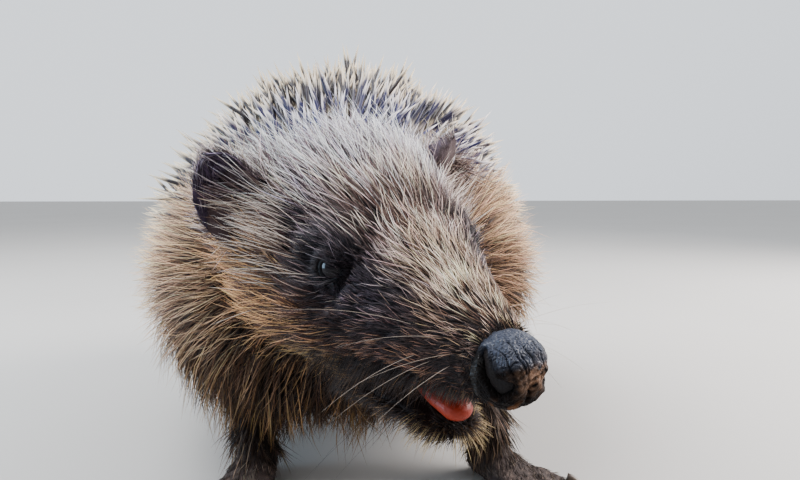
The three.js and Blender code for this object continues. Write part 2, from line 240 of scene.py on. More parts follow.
def link(name, mesh, material):
    """A piece of the animal."""
    obj = bpy.data.objects.new(name, mesh)
    bpy.context.scene.collection.objects.link(obj)
    mesh.materials.append(material)
    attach(obj, "root")
    return obj


def put_points(mesh, points):
    """Moves a mesh's vertices to places in mm."""
    mesh.vertices.foreach_set("co", to_row(points).astype(np.float32).ravel())


def shape(mesh, points):
    put_points(mesh, points)
    mesh.shade_smooth()
    mesh.update()


def put_values(mesh, name, values):
    mesh.attributes.new(name, "FLOAT", "POINT").data.foreach_set("value", values.astype(np.float32))


def put_colours(mesh, name, colours):
    rgba = np.ones((len(mesh.vertices), 4), np.float32)
    rgba[:, :3] = colours
    mesh.color_attributes.new(name, "FLOAT_COLOR", "POINT").data.foreach_set("color", rgba.ravel())


# ---------------------------------------------------------------- materials

def new_material(name):
    material = bpy.data.materials.new(name)
    material.use_nodes = True
    tree = material.node_tree
    return material, tree, tree.nodes["Principled BSDF"]


def feed(tree, made, inputs):
    """Sets a node's inputs, each to a value or to another node's output."""
    for key, value in inputs.items():
        if isinstance(value, bpy.types.NodeSocket):
            tree.links.new(value, made.inputs[key])
        else:
            made.inputs[key].default_value = value


def node(tree, kind, inputs=None, **settings):
    made = tree.nodes.new(kind)
    for key, value in settings.items():
        setattr(made, key, value)
    feed(tree, made, inputs or {})
    return made


def object_place(tree):
    return node(tree, "ShaderNodeTexCoord").outputs["Object"]


def noise(tree, scale, detail=3, roughness=0.5):
    inputs = {"Vector": object_place(tree), "Scale": scale, "Detail": detail, "Roughness": roughness}
    return node(tree, "ShaderNodeTexNoise", inputs).outputs["Fac"]


def remap(tree, value, low, high):
    made = node(tree, "ShaderNodeMapRange", {"Value": value, "To Min": low, "To Max": high})
    return made.outputs["Result"]


def bump(tree, shader, height, distance, strength=1.0):
    made = node(tree, "ShaderNodeBump", {"Height": height, "Distance": distance, "Strength": strength})
    feed(tree, shader, {"Normal": made.outputs["Normal"]})


def speckled(tree, scale, low, high):
    """A colour that wanders between two."""
    ramp = node(tree, "ShaderNodeValToRGB", {"Fac": noise(tree, scale)})
    for element, colour in zip(ramp.color_ramp.elements, (low, high)):
        element.color = (*colour, 1)
    return ramp.outputs["Color"]


def leather(tree, cells, seams, lumps, detail, share):
    """A height: cells with sunk seams between them, and a share of finer lumps."""
    cell = node(tree, "ShaderNodeTexVoronoi", {"Vector": object_place(tree), "Scale": cells},
                feature="DISTANCE_TO_EDGE")
    sunk = remap(tree, cell.outputs["Distance"], 0.0, seams)
    return node(tree, "ShaderNodeMath", {0: noise(tree, lumps, detail, 0.6), 1: share, 2: sunk},
                operation="MULTIPLY_ADD").outputs["Value"]


def tinted_attribute(tree, shader, attribute, shade):
    """Base colour from the mesh's markings and painted light, times `shade`."""
    colour = node(tree, "ShaderNodeAttribute", attribute_name=attribute)
    inputs = {0: colour.outputs["Color"], "Scale": shade}
    times = node(tree, "ShaderNodeVectorMath", inputs, operation="SCALE")
    feed(tree, shader, {"Base Color": times.outputs["Vector"]})


def coat_material(name, roughness, specular):
    material, tree, shader = new_material(name)
    tinted_attribute(tree, shader, "coat", remap(tree, noise(tree, 900), 0.82, 1.18))
    feed(tree, shader, {"Roughness": roughness, "Specular IOR Level": specular})
    return material


def skin_material():
    """Finely wrinkled skin, smoother where it is wet."""
    material, tree, shader = new_material("skin")
    tinted_attribute(tree, shader, "markings_and_painted_light", remap(tree, noise(tree, 700), 0.7, 1.3))
    wet = node(tree, "ShaderNodeAttribute", attribute_name="wet")
    rough = node(tree, "ShaderNodeMix", {
        "Factor": wet.outputs["Fac"],
        "A": remap(tree, noise(tree, 1500), 0.55, 0.8),
        "B": remap(tree, noise(tree, 1200), 0.3, 0.55),
    })
    feed(tree, shader, {"Roughness": rough.outputs["Result"], "Specular IOR Level": 0.14})
    height = leather(tree, cells=1900, seams=1.0, lumps=900, detail=6, share=0.6)
    bump(tree, shader, height, distance=0.0002, strength=0.7)
    return material


def nose_material():
    """Black leathery skin: small scales with seams between them, and a film of water in places."""
    material, tree, shader = new_material("nose")
    tinted_attribute(tree, shader, "markings_and_painted_light", remap(tree, noise(tree, 1600, 4), 0.55, 1.45))
    height = leather(tree, cells=1700, seams=2.2, lumps=1100, detail=5, share=0.9)
    bump(tree, shader, height, distance=0.00021)
    wet = node(tree, "ShaderNodeAttribute", attribute_name="wet")
    patches = remap(tree, noise(tree, 800, 4), -0.6, 1.6)
    film = node(tree, "ShaderNodeMath", {0: wet.outputs["Fac"], 1: patches}, operation="MULTIPLY")
    feed(tree, shader, {
        "Roughness": remap(tree, noise(tree, 700, 4), 0.45, 0.8),
        "Specular IOR Level": 0.04,
        "Coat Weight": film.outputs["Value"],
        "Coat Roughness": 0.28,
        "Coat Normal": shader.inputs["Normal"].links[0].from_socket,
    })
    return material


def wet_material(name, colour, roughness, bumps, gloss, film):
    """A smooth wet surface: `gloss` is how much it reflects itself, `film` how much the water on it does."""
    material, tree, shader = new_material(name)
    feed(tree, shader, {
        "Base Color": speckled(tree, 500, colour * 0.6, colour * 1.25),
        "Roughness": remap(tree, noise(tree, 900), roughness * 0.8, roughness * 1.2),
        "Specular IOR Level": gloss,
        "Coat Weight": film,
        "Coat Roughness": 0.08,
    })
    bump(tree, shader, noise(tree, 2200, 4), bumps)
    return material


def floor_material():
    material, tree, shader = new_material("floor")
    feed(tree, shader, {
        "Base Color": speckled(tree, 6, (0.40, 0.385, 0.365), (0.45, 0.435, 0.415)),
        "Roughness": 0.9,
    })
    return material


# ---------------------------------------------------------------- the skin's form

SIDES = ("left", "right")
FLESH = {
    "head": ["head", "eye_left", "eye_right"],
    "nose": ["nose"],
    "jaw": ["lower_jaw"],
    "body": ["neck", "trunk"],
    "tail": ["tail"],
    "leg": [f"{where}leg_{side}" for where in ("fore", "hind") for side in SIDES],
    "foot": [f"{where}foot_{side}" for where in ("fore", "hind") for side in SIDES],
    "ear": [f"ear_{side}" for side in SIDES],
}
REGIONS = list(FLESH)
# How softly each region passes into its neighbours, in mm.
BLUR = {"head": 1.6, "nose": 0.35, "jaw": 1.0, "body": 2.4, "tail": 1.2, "leg": 1.6, "foot": 0.7, "ear": 0.5}


def joined(parts):
    """Several (points, triangles) as one."""
    starts = np.cumsum([0] + [len(points) for points, _ in parts])
    points = np.concatenate([points for points, _ in parts])
    triangles = np.concatenate([t + start for (_, t), start in zip(parts, starts)])
    return points, triangles


def voxel_surface(points, triangles, voxel):
    """One closed mesh round overlapping solids, built on a grid of `voxel` mm."""
    mesh = bpy.data.meshes.new("solids")
    mesh.from_pydata(points.tolist(), [], triangles.tolist())
    obj = bpy.data.objects.new("solids", mesh)
    bpy.context.scene.collection.objects.link(obj)
    modifier = obj.modifiers.new("voxels", "REMESH")
    modifier.mode = "VOXEL"
    modifier.voxel_size = voxel
    bpy.context.view_layer.update()
    graph = bpy.context.evaluated_depsgraph_get()
    made = bpy.data.meshes.new_from_object(obj.evaluated_get(graph))
    bpy.data.objects.remove(obj)
    bpy.data.meshes.remove(mesh)
    return made


def near_eye(h):
    """Distance in mm to the nearer eye's centre."""
    return np.linalg.norm(fold(h) - EYE, axis=1)


def refine(mesh, reach):
    """Halves the edges whose ends are both within `reach` mm of an eye's centre."""
    made = bmesh.new()
    made.from_mesh(mesh)
    near = near_eye(to_head(np.array([v.co for v in made.verts]))) < reach
    edges = [e for e in made.edges if near[e.verts[0].index] and near[e.verts[1].index]]
    bmesh.ops.subdivide_edges(made, edges=edges, cuts=1, use_grid_fill=True, smooth=0.0)
    made.to_mesh(mesh)
    made.free()


def mesh_edges(mesh):
    edges = np.empty(len(mesh.edges) * 2, np.int32)
    mesh.edges.foreach_get("vertices", edges)
    return edges.reshape(-1, 2)


def region_shares(points):
    """How far each point belongs to each region, from its distance to that region's solids."""
    away = []
    for region in REGIONS:
        solids = joined([node_arrays(name) for name in FLESH[region]])
        tree = BVHTree.FromPolygons(*[values.tolist() for values in solids])
        away.append([tree.find_nearest(p)[3] for p in points])
    blur = np.array([BLUR[region] for region in REGIONS])
    shares = np.exp(-((np.array(away).T / blur) ** 2) / 2) + 1e-9
    return dict(zip(REGIONS, (shares / shares.sum(axis=1, keepdims=True)).T))


# Heights of the lips' edges along the head: y, then z.
LIP_LINE = ([-30, -25, -19, -12, -6, -1, 6], [-16.9, -17.2, -18, -19.2, -20.4, -22.6, -26.5])
JAW_LINE = ([-18, -11, -3, 4], [-25.6, -24.2, -23.4, -23.6])


def in_mouth(h, up):
    """1 inside the open mouth: the palate and the floor of the jaw."""
    middle = (np.interp(h[:, 1], *LIP_LINE) + np.interp(h[:, 1], *JAW_LINE)) / 2
    width = np.interp(h[:, 1], [-30, -19, -6, 0], [3.2, 6.5, 10.5, 10.5])
    above = smoothstep(-up, 0.35, 0.75) * (h[:, 2] > middle)
    inner = (h[:, 1] > -15.5) & (np.abs(h[:, 0]) < width - 1.3)  # the jaw's rim is hairy
    below = smoothstep(up, 0.35, 0.75) * (h[:, 2] < middle) * inner
    there = (h[:, 1] > -27.5) & (h[:, 1] < 2) & (np.abs(h[:, 0]) < width)
    return (above + below) * there * (np.abs(h[:, 2] - middle) < 4.2)


def coat_depth(points, shares, mouth):
    """How far the skin lies inside the outer form: least on the nose, lips, lids, ears and feet."""
    h = to_head(points)
    head = ([-28, -20, -12, -4, 4, 12, 20, 30], [0.4, 1.0, 1.6, 2.2, 3.0, 4.2, 5.4, 6.5])
    depth = {
        "head": np.interp(h[:, 1], *head),
        "nose": np.full(len(points), 0.8),
        "jaw": np.interp(h[:, 1], [-20, -10, 0, 10], [0.6, 1.0, 1.9, 3]),
        "body": mix(6.5, 10.5, smoothstep(points[:, 2] - skirt_height(points), -6, 8)),
        "tail": np.full(len(points), 0.6),
        "leg": np.interp(points[:, 2], [8, 30], [1.0, 2.8]),
        "foot": np.full(len(points), 0.35),
        "ear": np.full(len(points), 0.45),
    }
    # Least along the edges of both lips.
    lips = smoothstep(h[:, 2] - np.interp(h[:, 1], *LIP_LINE), 0.3, 5) + (h[:, 1] > 4)
    depth["head"] = mix(0.45, depth["head"], np.clip(lips, 0, 1))
    depth["jaw"] = mix(0.4, depth["jaw"], smoothstep(np.interp(h[:, 1], *JAW_LINE) - h[:, 2], 0.3, 3.5))
    total = sum(shares[r] * depth[r] for r in REGIONS)
    total = np.minimum(total, np.interp(near_eye(h), [3, 5, 8, 12], [0.55, 0.7, 1.4, 9]))
    return mix(total, 0.35, mouth)


def skirt_height(points):
    return np.interp(points[:, 1], *SKIRT_LINE)


def around_eye(h, side):
    """The eye's centre, and points' reach and ray from it, facing, and distance in mm outside the lids."""
    flip = np.array([side, 1, 1])
    centre, look = EYE * flip, unit(EYE_LOOK * flip)
    front = unit(np.array([0, -1, 0]) + look * look[1])  # towards the eye's inner corner
    up = np.cross(front, look)
    up = up * np.sign(up[2])
    reach = np.linalg.norm(h - centre, axis=1)
    ray = (h - centre) / np.maximum(reach, 1e-6)[:, None]
    x = ray @ front * EYE_RADIUS
    y = ray @ up * EYE_RADIUS + 0.12 * x
    # The opening is an almond that draws out to a point at the inner corner.
    pinch = 1 - 0.16 * np.clip(x, 0, 2)
    almond = np.hypot(x / (EYE_OPENING[0] + 0.35 * (x > 0)), y / (EYE_OPENING[1] * pinch))
    return centre, reach, ray, ray @ look, (almond - 1) * EYE_OPENING[1]


def shape_eyes(h):
    """Draws the skin over each eyeball and opens the lids."""
    for side in (1, -1):
        centre, reach, ray, facing, edge = around_eye(h, side)
        lid = EYE_RADIUS + LID * (1 + 0.25 * np.exp(-((edge - 0.25) / 0.25) ** 2)) - 0.1 * (edge > 1)
        formed = mix(EYE_RADIUS - 0.8, lid, smoothstep(edge, -0.25, 0.03))
        hold = smoothstep(facing, 0.1, 0.45) * (1 - smoothstep(edge, 0.5, 2.2)) * (reach < 8)
        h = centre + ray * mix(reach, formed, hold)[:, None]
    return h


# Lines on the left half of the nose, in the head's frame: a nostril, and the fold behind it.
NOSTRIL = np.array([
    [4.3, -30.2, -7.3], [4.95, -31.7, -9.7], [4.9, -32.7, -11.1], [4.2, -33.9, -11.9], [3.2, -34.8, -11.7],
])
NOSTRIL_WIDTH = [0.45, 0.72, 0.82, 1.1, 0.85]
NOSTRIL_DEPTH = [1.3, 2.6, 3.0, 3.4, 2.3]
NOSE_AXIS = np.array([0.0, 0.0, -10.9])
FOLD = np.array([[5.0, -30.6, -8.4], [5.7, -29.8, -10.0], [5.7, -29.0, -11.8], [5.0, -29.6, -14.0]])
FOLD_HEIGHT = [0.35, 0.75, 0.5, 0.3]
# Cracks across its front, each from one end to the other (head's x and z).
CRACKS = [
    ((-1.7, -6.2), (-1.3, -9.6)), ((0.1, -6.0), (0.6, -9.2)), ((1.9, -6.4), (2.3, -9.0)),
    ((-3.2, -7.0), (-2.6, -9.4)), ((-0.9, -7.4), (-0.5, -10.6)), ((-3.9, -8.6), (-1.9, -8.2)),
    ((0.9, -10.4), (-1.4, -11.2)),
]


def near_line(points, line, *values):
    """Distance from each point to a line drawn through a few places, and values given at those places."""
    steps = np.linspace(0, len(line) - 1, 40)
    places = np.stack([np.interp(steps, range(len(line)), line[:, k]) for k in range(line.shape[1])], axis=1)
    away = np.linalg.norm(points[:, None, :] - places[None], axis=2)
    nearest = away.argmin(axis=1)
    return away.min(axis=1), *[np.interp(steps[nearest], range(len(line)), v) for v in values]


def mound(h, middle, reach):
    """1 at a place, falling off softly over its reach along each axis."""
    return np.exp(-(((h - middle) / reach) ** 2).sum(axis=1))


def sculpt_nose(h, normals):
    """Comma-shaped nostrils with a fold behind each, cracks on the pad and the groove down to the lip."""
    away, width, deep = near_line(fold(h), NOSTRIL, NOSTRIL_WIDTH, NOSTRIL_DEPTH)
    dip = deep * np.exp(-(away / width) ** 2.6)
    lip = 0.18 * np.exp(-((away - width * 1.8) / 0.5) ** 2)
    away, height = near_line(fold(h), FOLD, FOLD_HEIGHT)
    ridge = height * np.exp(-(away / 1.15) ** 2)
    pad = 0.35 * mound(fold(h), [1.8, -34.6, -9.2], [2.0, 2.0, 2.3])
    groove = 0.5 * np.exp(-(h[:, 0] / 0.35) ** 2) * smoothstep(-h[:, 2], 10.5, 13)
    wander = h[:, [0, 2]] + np.stack([waves(h, 2.4, 51), waves(h, 2.0, 52)], axis=1) * 0.22
    away = np.min([near_line(wander, np.array(ends))[0] for ends in CRACKS], axis=0)
    crack = np.exp(-(away / 0.12) ** 2) * smoothstep(-h[:, 1], 28.5, 31)
    rough = 0.06 * waves(h, 1.3, 53) + 0.03 * waves(h, 0.62, 54)
    raised = ridge + lip + pad + rough - dip - groove - 0.26 * crack
    return h + normals * raised[:, None], dip, crack


def nose_pad():
    """The bare pad: almost black, with a painted blue-grey reflection of the sky on its top, a painted brown
    sheen in front, painted shade in the nostrils and cracks, and some dirt.
    """
    mesh = voxel_surface(*node_arrays("nose"), NOSE_VOXEL)
    points, triangles = read_mesh(mesh)
    points = smoothed(points, mesh_edges(mesh), 30, 0.7)
    h = to_head(points)
    neck_in = np.interp(h[:, 1:2], [-32, -29, -25.5], [1, 0.93, 0.7])  # its rear sinks under the fur
    h = NOSE_AXIS + (h - NOSE_AXIS) * (neck_in ** [1, 0, 1])
    h, dip, crack = sculpt_nose(h, vertex_normals(from_head(h), triangles) @ HEAD_TURN)
    # Painted reflection of the sky: the top of the pad is painted blue-grey.
    sky = smoothstep(h[:, 2] + 0.7 * waves(h, 2.4, 45), -10.5, -6.5)
    sky *= 1 - smoothstep(np.abs(h[:, 0]), 3.6, 5.0)
    # A painted highlight: a brown sheen on the bulge at the front of the pad.
    painted_sheen = mound(h, [1.3, -36, -10.6], [2.8, 3, 2.0]) * (0.6 + 0.5 * waves(h, 0.9, 46))
    painted_sheen = np.clip(painted_sheen, 0, 1)
    dirt = smoothstep(waves(h, 2.2, 44), 0.3, 1.2)
    dirt *= smoothstep(-h[:, 2], 13.0, 15.5) * smoothstep(-h[:, 1], 29, 32)
    # Painted shade: the nostrils and the cracks are painted near-black.
    deep = smoothstep(dip + 0.8 * crack, 0.25, 0.9)
    colour = tint(linear(9, 6, 6), (52, 56, 68), sky)
    colour = tint(colour, (146, 110, 86), painted_sheen * (1 - sky))
    colour = tint(colour, (110, 72, 44), 0.55 * dirt)
    colour = tint(colour, (3, 2, 2), deep)
    away, _ = near_line(fold(h), FOLD, FOLD_HEIGHT)
    shape(mesh, from_head(h))
    put_colours(mesh, "markings_and_painted_light", colour)
    put_values(mesh, "wet", np.clip(0.6 * sky + painted_sheen + np.exp(-(away / 0.7) ** 2), 0, 1) * (1 - deep))
    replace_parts(link("nose_pad", mesh, nose_material()), "nose")


def make_skin():
    """The skin's mesh and its arrays in mm, with each vertex's normal, regions, mouth and depth of coat."""
    parts = []
    for region in REGIONS:
        for name in FLESH[region]:
            points, triangles = node_arrays(name)
            parts.append((points + vertex_normals(points, triangles) * GROW, triangles))
    mesh = voxel_surface(*joined(parts), VOXEL)
    for reach in (6.5, 5.4):
        refine(mesh, reach)
    edges = mesh_edges(mesh)
    points, triangles = read_mesh(mesh)
    points = smoothed(points, edges, 3, 0.5)
    shares = region_shares(points)
    normals = smoothed(vertex_normals(points, triangles), edges, 3)
    mouth = in_mouth(to_head(points), (normals @ HEAD_TURN)[:, 2]) * (shares["head"] + shares["jaw"])
    mouth = smoothed(mouth, edges, 2)
    even = smoothed(normals, edges, 14)
    calm = (shares["body"] + shares["head"] * smoothstep(to_head(points)[:, 1], 0, 20))[:, None]
    normals = unit(mix(normals, even, calm))
    depth = smoothed(coat_depth(points, shares, mouth), edges, 4)
    points = points - normals * (depth + GROW)[:, None]
    points = mix(points, smoothed(points, edges, 30), calm * (1 - mouth[:, None]))
    points = smoothed(points, edges, 1, 0.5)
    h = shape_eyes(to_head(points))
    points = from_head(h)
    return mesh, points, triangles, vertex_normals(points, triangles), shares, mouth, depth


# ---------------------------------------------------------------- zones of the coat

# Hairs per mm2, length and thickness in mm, lift as a part of the coat's depth and share of pale hairs.
# Then the colours of the pale hairs, the middling ones and the roots; the roots' colour, which the skin
# under the coat also takes, is partly painted shade.
ZONES = {
    "bridge": (9.0, 6.4, 0.105, 1.2, 0.38, (254, 226, 198), (138, 104, 82), (34, 25, 24)),
    "brow": (5.8, 11.5, 0.14, 1.4, 0.16, (252, 228, 212), (100, 74, 65), (29, 21, 24)),
    "forehead": (4.8, 16.0, 0.15, 1.7, 0.33, (254, 248, 252), (134, 108, 114), (28, 22, 31)),
    "mask": (7.0, 4.6, 0.125, 0.9, 0.04, (140, 124, 130), (40, 30, 40), (16, 12, 20)),
    "muzzle": (10.0, 3.8, 0.10, 0.9, 0.08, (162, 114, 86), (51, 30, 24), (19, 11, 11)),
    "cheek": (4.8, 15.0, 0.145, 1.2, 0.19, (228, 170, 112), (84, 49, 30), (22, 12, 11)),
    "temple": (4.9, 15.0, 0.145, 1.3, 0.21, (238, 206, 182), (106, 74, 66), (28, 20, 28)),
    "jaw": (5.5, 4.5, 0.13, 1.0, 0.10, (166, 130, 84), (60, 43, 31), (24, 17, 15)),
    "throat": (2.4, 12.0, 0.18, 1.3, 0.13, (166, 126, 80), (76, 53, 36), (28, 20, 17)),
    "chest": (1.7, 19.0, 0.22, 1.3, 0.13, (150, 116, 76), (66, 48, 35), (26, 19, 16)),
    "neck": (2.8, 17.0, 0.165, 1.1, 0.26, (236, 193, 150), (131, 94, 67), (49, 34, 28)),
    "skirt": (1.05, 19.0, 0.26, 1.0, 0.28, (218, 186, 148), (134, 101, 74), (54, 39, 32)),
    "belly": (0.65, 13.0, 0.28, 0.9, 0.25, (196, 170, 136), (112, 86, 64), (46, 35, 29)),
    "leg": (2.3, 8.5, 0.20, 1.1, 0.12, (146, 120, 92), (78, 60, 48), (38, 29, 25)),
    "foot": (1.6, 2.2, 0.14, 0.6, 0.15, (146, 128, 112), (82, 68, 60), (44, 36, 33)),
    "ear": (4.5, 2.8, 0.11, 0.9, 0.14, (196, 180, 196), (92, 79, 96), (40, 33, 47)),
    "ear_back": (6.0, 3.2, 0.12, 1.0, 0.35, (238, 218, 208), (140, 116, 110), (70, 56, 58)),
    "tail": (3.0, 6.0, 0.2, 1.0, 0.25, (190, 164, 132), (124, 98, 76), (60, 47, 39)),
    "mantle": (0.22, 11.0, 0.22, 0.4, 0.30, (200, 180, 150), (116, 94, 76), (54, 43, 38)),
}
DENSITY, LENGTH, THICKNESS, LIFT, PALE_SHARE, PALE, MIDDLE, ROOT = range(8)  # columns of ZONES
LIMBS = ("leg", "foot", "tail", "ear", "ear_back")
LONG = ("skirt", "belly", "neck", "throat", "chest", "mantle")
FINE = ("bridge", "mask", "muzzle", "jaw")
# The face's zones spread from these places in the head's frame (x without its sign), each with its reach.
FACE = [
    ("bridge", (0, -22, -3), (6, 7, 5)),
    ("bridge", (2, -15, 1), (5, 6, 5)),
    ("brow", (4, -5, 7), (9, 9, 7)),
    ("forehead", (8, 12, 17), (15, 11, 9)),
    ("forehead", (0, 24, 20), (20, 10, 10)),
    ("mask", (14.6, -1, 0), (5, 6.5, 7.5)),
    ("mask", (9.9, -12.0, -3.2), (6.4, 9.5, 7)),
    ("muzzle", (8, -20, -9), (6, 7, 6)),
    ("muzzle", (11, -10, -13), (7, 9, 6)),
    ("cheek", (21, 8, -7), (6, 9, 8)),
    ("cheek", (18, 0, -12), (5, 6, 5)),
    ("cheek", (23, 20, -10), (8, 9, 10)),
    ("temple", (23, 14, 7), (6, 8, 7)),
    ("jaw", (6, -8, -27), (8, 14, 5)),
    ("jaw", (12, 4, -21), (6, 8, 5)),
    ("throat", (6, 20, -29), (16, 14, 7)),
]


def behind_crown_line(h):
    """How far points lie behind the front edge of the spines, in mm."""
    return h[:, 1] - np.interp(h[:, 2], *CROWN_LINE)


def spiny(points, shares, past):
    """1 where the coat is spines, which start about `past` mm behind the crown line."""
    past = past + 1.8 * waves(points, 5, 61)
    behind = smoothstep(behind_crown_line(to_head(points)) - past, -1.5, 2.5)
    left_side_folds = 9 * smoothstep(points[:, 0], 10, 40) * smoothstep(-points[:, 1], 0, 30)
    above = smoothstep(points[:, 2] - skirt_height(points) - left_side_folds, -2, 3)
    return behind * above * (shares["body"] + shares["head"])


def ear_inside(points, normals):
    """1 where the surface faces the way the ears open."""
    facing = mirrored(normals @ HEAD_TURN, np.where(to_head(points)[:, 0] < 0, -1, 1))
    return smoothstep(facing @ EAR_OPENING, -0.2, 0.4)


def zone_shares(points, shares, normals):
    """How far each point belongs to each zone of the coat. The shares add up to 1."""
    h = to_head(points)
    found = {zone: np.zeros(len(points)) for zone in ZONES}
    away = np.stack([(((fold(h) - c) / r) ** 2).sum(axis=1) for _, c, r in FACE], axis=1)
    pull = np.exp(-1.3 * (away - away.min(axis=1, keepdims=True)))
    pull /= pull.sum(axis=1, keepdims=True)
    mantle = spiny(points, shares, HAIR_END)
    front = 1 - smoothstep(points[:, 1], -38, -12)
    face = (shares["head"] + shares["jaw"] + shares["nose"]) * (1 - mantle)
    for i, (zone, _, _) in enumerate(FACE):
        found[zone] += pull[:, i] * face
    body = shares["body"] * (1 - mantle)
    low = (1 - smoothstep(points[:, 2], 32, 52)) * (1 - smoothstep(np.abs(points[:, 0] - 3), 36, 52))
    found["chest"] += body * front * low
    found["neck"] += body * front * (1 - low)
    rear_low = 1 - smoothstep(points[:, 2], 18, 27)
    found["belly"] += body * (1 - front) * rear_low
    found["skirt"] += body * (1 - front) * (1 - rear_low)
    found["mantle"] += mantle
    inside = ear_inside(points, normals)
    found["ear"] += shares["ear"] * inside
    found["ear_back"] += shares["ear"] * (1 - inside)
    for zone in ("leg", "foot", "tail"):
        found[zone] += shares[zone]
    return found


def blend(zones, column):
    """A column of ZONES at each point, weighed by its zones."""
    total = 0
    for zone, share in zones.items():
        value = ZONES[zone][column]
        total = total + (share[:, None] * linear(*value) if column >= PALE else share * value)
    return total


# ---------------------------------------------------------------- growing hairs

class Ground:
    """The skin as the coat sees it: places to root a hair, with what is known there."""

    def __init__(self, points, triangles, normals, shares, mouth, depth):
        self.points, self.triangles, self.normals = points, triangles, normals
        self.depth = depth
        self.zones = zone_shares(points, shares, normals)
        self.spiny = spiny(points, shares, 0)
        pad = 1 - smoothstep(to_head(points)[:, 1], -30.0, -28.8)  # hidden by the nose's own piece
        self.bare = np.clip(mouth * 1.5 + pad + bare_eye(points), 0, 1)
        a, b, c = (points[triangles[:, i]] for i in range(3))
        self.area = np.linalg.norm(np.cross(b - a, c - a), axis=1) / 2

    def at(self, values, triangle, weight):
        """Values per vertex, read at places inside triangles."""
        corners = values[self.triangles[triangle]]
        return (corners * weight.reshape(weight.shape + (1,) * (corners.ndim - 2))).sum(axis=1)

    def scatter(self, density, rng):
        """Random roots, `density` of them per mm2 (a value per vertex)."""
        wanted = density[self.triangles].mean(axis=1) * self.area
        triangle = np.repeat(np.arange(len(wanted)), rng.poisson(wanted))
        u, v = rng.random((2, len(triangle)))
        over = u + v > 1
        u[over], v[over] = 1 - u[over], 1 - v[over]
        weight = columns(1 - u - v, u, v)
        roots = self.at(self.points, triangle, weight)
        normals = unit(self.at(self.normals, triangle, weight))
        zones = {zone: self.at(share, triangle, weight) for zone, share in self.zones.items()}
        return roots, normals, zones, self.at(self.depth, triangle, weight)


def bare_eye(points):
    """1 on the lids' edges and inside them."""
    h = to_head(points)
    bare = 0
    for side in (1, -1):
        _, reach, _, facing, edge = around_eye(h, side)
        bare = bare + (1 - smoothstep(edge, 0.0, 0.2)) * (facing > 0) * (reach < 8)
    return bare


def lie(points, normals, zones):
    """The way the coat lies: back from the nose on the head, back and down on the body."""
    h = to_head(points)
    on_head = unit(h - NOSE_TIP) + np.array([0, 0, -0.04]) * smoothstep(np.abs(h[:, :1]), 8, 20)
    on_head = on_head @ HEAD_TURN.T
    outward = columns(points[:, 0] / 60, np.ones(len(points)), (points[:, 2] - 60) / 90)
    down = np.tile([0.0, 0.75, -0.75], (len(points), 1))
    legs = np.tile([0.0, 0.2, -1.0], (len(points), 1))
    feet = np.tile([0.0, -0.9, -0.25], (len(points), 1))
    ears = unit(mirrored(fold(h) - EAR_MIDDLE, np.sign(h[:, 0])))
    ears = (ears + [0, 0.7, 0.5]) @ HEAD_TURN.T
    body = mix(down, outward, smoothstep(points[:, 2:], 30, 62))
    ways = {
        "leg": legs, "foot": feet, "tail": down, "ear": ears, "ear_back": ears,
        "skirt": body, "belly": body, "mantle": body,
        "neck": mix(on_head, body, 0.45), "chest": 0.3 * on_head + legs,
    }
    flow = sum(zones[zone][:, None] * ways.get(zone, on_head) for zone in ZONES)
    flow = flow - normals * (flow * normals).sum(axis=1, keepdims=True)
    return unit(flow)


def keep_off_eyes(points, flow, length):
    """Shortens hairs that would lie across an eye."""
    h = to_head(points)
    toward = mirrored(EYE, np.sign(h[:, 0])) - h
    gap = np.linalg.norm(toward, axis=1)
    aimed = smoothstep((unit(toward) * (flow @ HEAD_TURN)).sum(axis=1), 0.1, 0.75)
    room = np.maximum(0.7 * (gap - EYE_RADIUS - 0.4), 0.5)
    return np.minimum(length, mix(length, room, aimed))


def locks_of(roots, rng):
    """For each hair, the number of the hair in the middle of its lock."""
    leaders = rng.choice(len(roots), max(len(roots) // HAIRS_PER_LOCK, 1), replace=False)
    tree = KDTree(len(leaders))
    for i, leader in enumerate(leaders):
        tree.insert(roots[leader], i)
    tree.balance()
    return leaders[[tree.find(root)[1] for root in roots]]


def gathered(lines, normals, lock, pull):
    """Draws each hair's outer part sideways to the middle hair of its lock."""
    s = np.linspace(0, 1, lines.shape[1])[None, :, None]
    toward = lines[lock] - lines
    toward = toward - 0.8 * normals[:, None, :] * (toward * normals[:, None, :]).sum(axis=2, keepdims=True)
    return lines + toward * pull[:, None, None] * s ** 1.6


def hair_lines(roots, normals, flow, length, height, rings, rng):
    """Centre lines, from the skin out: they rise, then lie over."""
    count = len(roots)
    s = np.linspace(0, 1, rings + 1)[None, :, None]
    side = np.cross(flow, normals)
    swing = rng.normal(0, 0.18, count) + 0.13 * waves(roots, 5.5, 3)
    curl = rng.normal(0, 0.15, count) + 0.08 * waves(roots, 9, 4)
    level = length * np.sqrt(np.maximum(1 - (height / length) ** 2, 0.3))
    along = (flow * level[:, None])[:, None, :]
    rise = (normals * height[:, None])[:, None, :] * (1.55 * s - 0.55 * s * s)
    drift = (side * length[:, None])[:, None, :] * (swing[:, None, None] * s + curl[:, None, None] * s * s)
    return roots[:, None, :] + along * s + rise + drift


def solids_along(lines, radius, sides):
    """Closed tapered solids: rings of `sides` points on all of each line but its tip, which is one point.
    Returns the points, and the faces of one solid as lists of its own point numbers."""
    count, steps, _ = lines.shape
    rings = steps - 1
    tangent = unit(np.gradient(lines, axis=1))
    aside = unit(np.cross(tangent, np.array([0.31, 0.24, 0.92])))
    other = np.cross(tangent, aside)
    angle = np.arange(sides) * 2 * math.pi / sides
    circle = aside[:, :rings, None, :] * np.cos(angle)[:, None]
    circle = circle + other[:, :rings, None, :] * np.sin(angle)[:, None]
    ring = lines[:, :rings, None, :] + circle * radius[:, :rings, None, None]
    points = np.concatenate([ring.reshape(count, rings * sides, 3), lines[:, -1:, :]], axis=1)
    faces = [list(range(sides))[::-1]]
    for r in range(rings - 1):
        for k in range(sides):
            a, b = r * sides + k, r * sides + (k + 1) % sides
            faces.append([a, b, b + sides, a + sides])
    last = (rings - 1) * sides
    faces += [[last + k, last + (k + 1) % sides, rings * sides] for k in range(sides)]
    return points, faces


